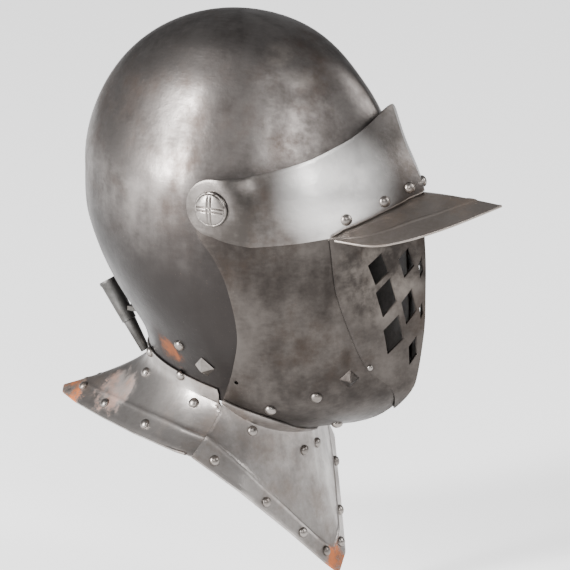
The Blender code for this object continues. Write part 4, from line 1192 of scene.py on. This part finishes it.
# Plume socket: a tapered tube of dark sheet steel at the nape, open at the top, stepped at its
# middle, and held off the bowl by a small angle bracket.
SOCKET_LENGTH = 0.0568
SOCKET_TOP_RADIUS = 0.0070
SOCKET_STEP_RADIUS = 0.0050
SOCKET_BOTTOM_RADIUS = 0.0033
SOCKET_WALL = 0.0009
SOCKET_TILT = math.radians(32.3)
socket_steel = aged_steel("socket_steel", (0.16, 0.155, 0.15, 1.0), (0.05, 0.048, 0.045, 1.0),
                          (0.12, 0.075, 0.045, 1.0), rough=0.42)
top, middle, low_end = SOCKET_TOP_RADIUS, SOCKET_STEP_RADIUS, SOCKET_BOTTOM_RADIUS
length = SOCKET_LENGTH
profile = [
    (top - SOCKET_WALL * 0.4, length), (top, length - 0.0006), (top, length - 0.0022),
    (top - 0.0005, length - 0.0030), (top * 0.86, length * 0.72), (middle + 0.0004, length * 0.455),
    (middle + 0.0004, length * 0.430), (middle - 0.0004, length * 0.425), (low_end, 0.0006),
    (low_end - 0.0003, 0.0), (low_end - SOCKET_WALL, 0.0), (middle - SOCKET_WALL, length * 0.45),
    (top * 0.86 - SOCKET_WALL, length * 0.72), (top - SOCKET_WALL, length - 0.0004),
    (top - SOCKET_WALL * 0.4, length),
]
socket = lathe("plume_socket", profile, 40)
merge = bmesh.new()
merge.from_mesh(socket.data)
bmesh.ops.remove_doubles(merge, verts=merge.verts, dist=1e-6)
bmesh.ops.recalc_face_normals(merge, faces=merge.faces)
merge.to_mesh(socket.data)
merge.free()
slope = Vector((0.0, math.sin(SOCKET_TILT), math.cos(SOCKET_TILT)))
tube_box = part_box("plume_tube")
tube_mid_y = (tube_box[0][1] + tube_box[1][1]) / 2.0
tube_mid_z = (tube_box[0][2] + tube_box[1][2]) / 2.0
turn = slope.to_track_quat("Z", "Y").to_matrix().to_4x4()
socket.data.transform(turn)
heights = [vert.co.z for vert in socket.data.vertices]
depths = [vert.co.y for vert in socket.data.vertices]
turn.identity()
turn.translation = Vector((0.0, tube_mid_y - (min(depths) + max(depths)) / 2.0,
                           tube_mid_z - (min(heights) + max(heights)) / 2.0))
socket.data.transform(turn)
socket.data.shade_smooth()
socket.data.set_sharp_from_angle(angle=math.radians(35.0))
socket.data.materials.append(socket_steel)
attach(socket, "bowl")
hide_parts("plume_tube")
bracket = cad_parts["plume_bracket"]
bracket.data.materials.clear()
bracket.data.materials.append(socket_steel)

for tool in (opening, latch_tool, lozenge_tool, head_pattern):
    bpy.data.objects.remove(tool, do_unlink=True)


# Studio: a plain pale floor that glows a little, a tall soft box on the camera's left for the long
# highlight on the bowl, one on its right, one in front, and dim light all round.
floor_mesh = bpy.data.meshes.new("studio_floor")
FLOOR_HALF = 6.0
FLOOR_LEVEL = -0.415
corners = [(side_x * FLOOR_HALF, side_y * FLOOR_HALF, FLOOR_LEVEL)
           for side_x, side_y in ((-1, -1), (1, -1), (1, 1), (-1, 1))]
floor_mesh.from_pydata(corners, [], [(0, 1, 2, 3)])
floor = bpy.data.objects.new("studio_floor", floor_mesh)
bpy.context.scene.collection.objects.link(floor)
pale = bpy.data.materials.new("studio_white")
pale.use_nodes = True
pale_surface = pale.node_tree.nodes["Principled BSDF"]
pale_surface.inputs["Base Color"].default_value = (0.92, 0.92, 0.92, 1.0)
pale_surface.inputs["Roughness"].default_value = 0.9
pale_surface.inputs["Emission Color"].default_value = (1.0, 1.0, 1.0, 1.0)
pale_surface.inputs["Emission Strength"].default_value = 1.15
floor_mesh.materials.append(pale)


def soft_light(name, turn, rise, distance, size, power, aim=(0.0, -0.03, -0.17)):
    """A soft box, placed by its turn from the camera's side and its height as angles."""
    data = bpy.data.lights.new(name, "AREA")
    data.shape = "RECTANGLE"
    data.size = size[0]
    data.size_y = size[1]
    data.energy = power
    item = bpy.data.objects.new(name, data)
    heading = CAMERA_TURN + math.radians(turn)
    lift = math.radians(rise)
    away = Vector((math.sin(heading) * math.cos(lift), -math.cos(heading) * math.cos(lift), math.sin(lift)))
    item.location = Vector(aim) + away * distance
    item.rotation_euler = away.to_track_quat("Z", "Y").to_euler()
    bpy.context.scene.collection.objects.link(item)


soft_light("left_strip", -60.0, 18.0, 2.4, (0.40, 1.3), 170.0)
soft_light("right_box", 88.0, 30.0, 2.6, (0.8, 1.3), 40.0)
soft_light("front_box", 14.0, 30.0, 3.0, (0.8, 0.8), 34.0)
world = bpy.data.worlds.new("studio_air")
bpy.context.scene.world = world
world.use_nodes = True
world.node_tree.nodes["Background"].inputs["Color"].default_value = (0.90, 0.91, 0.93, 1.0)
world.node_tree.nodes["Background"].inputs["Strength"].default_value = 0.30
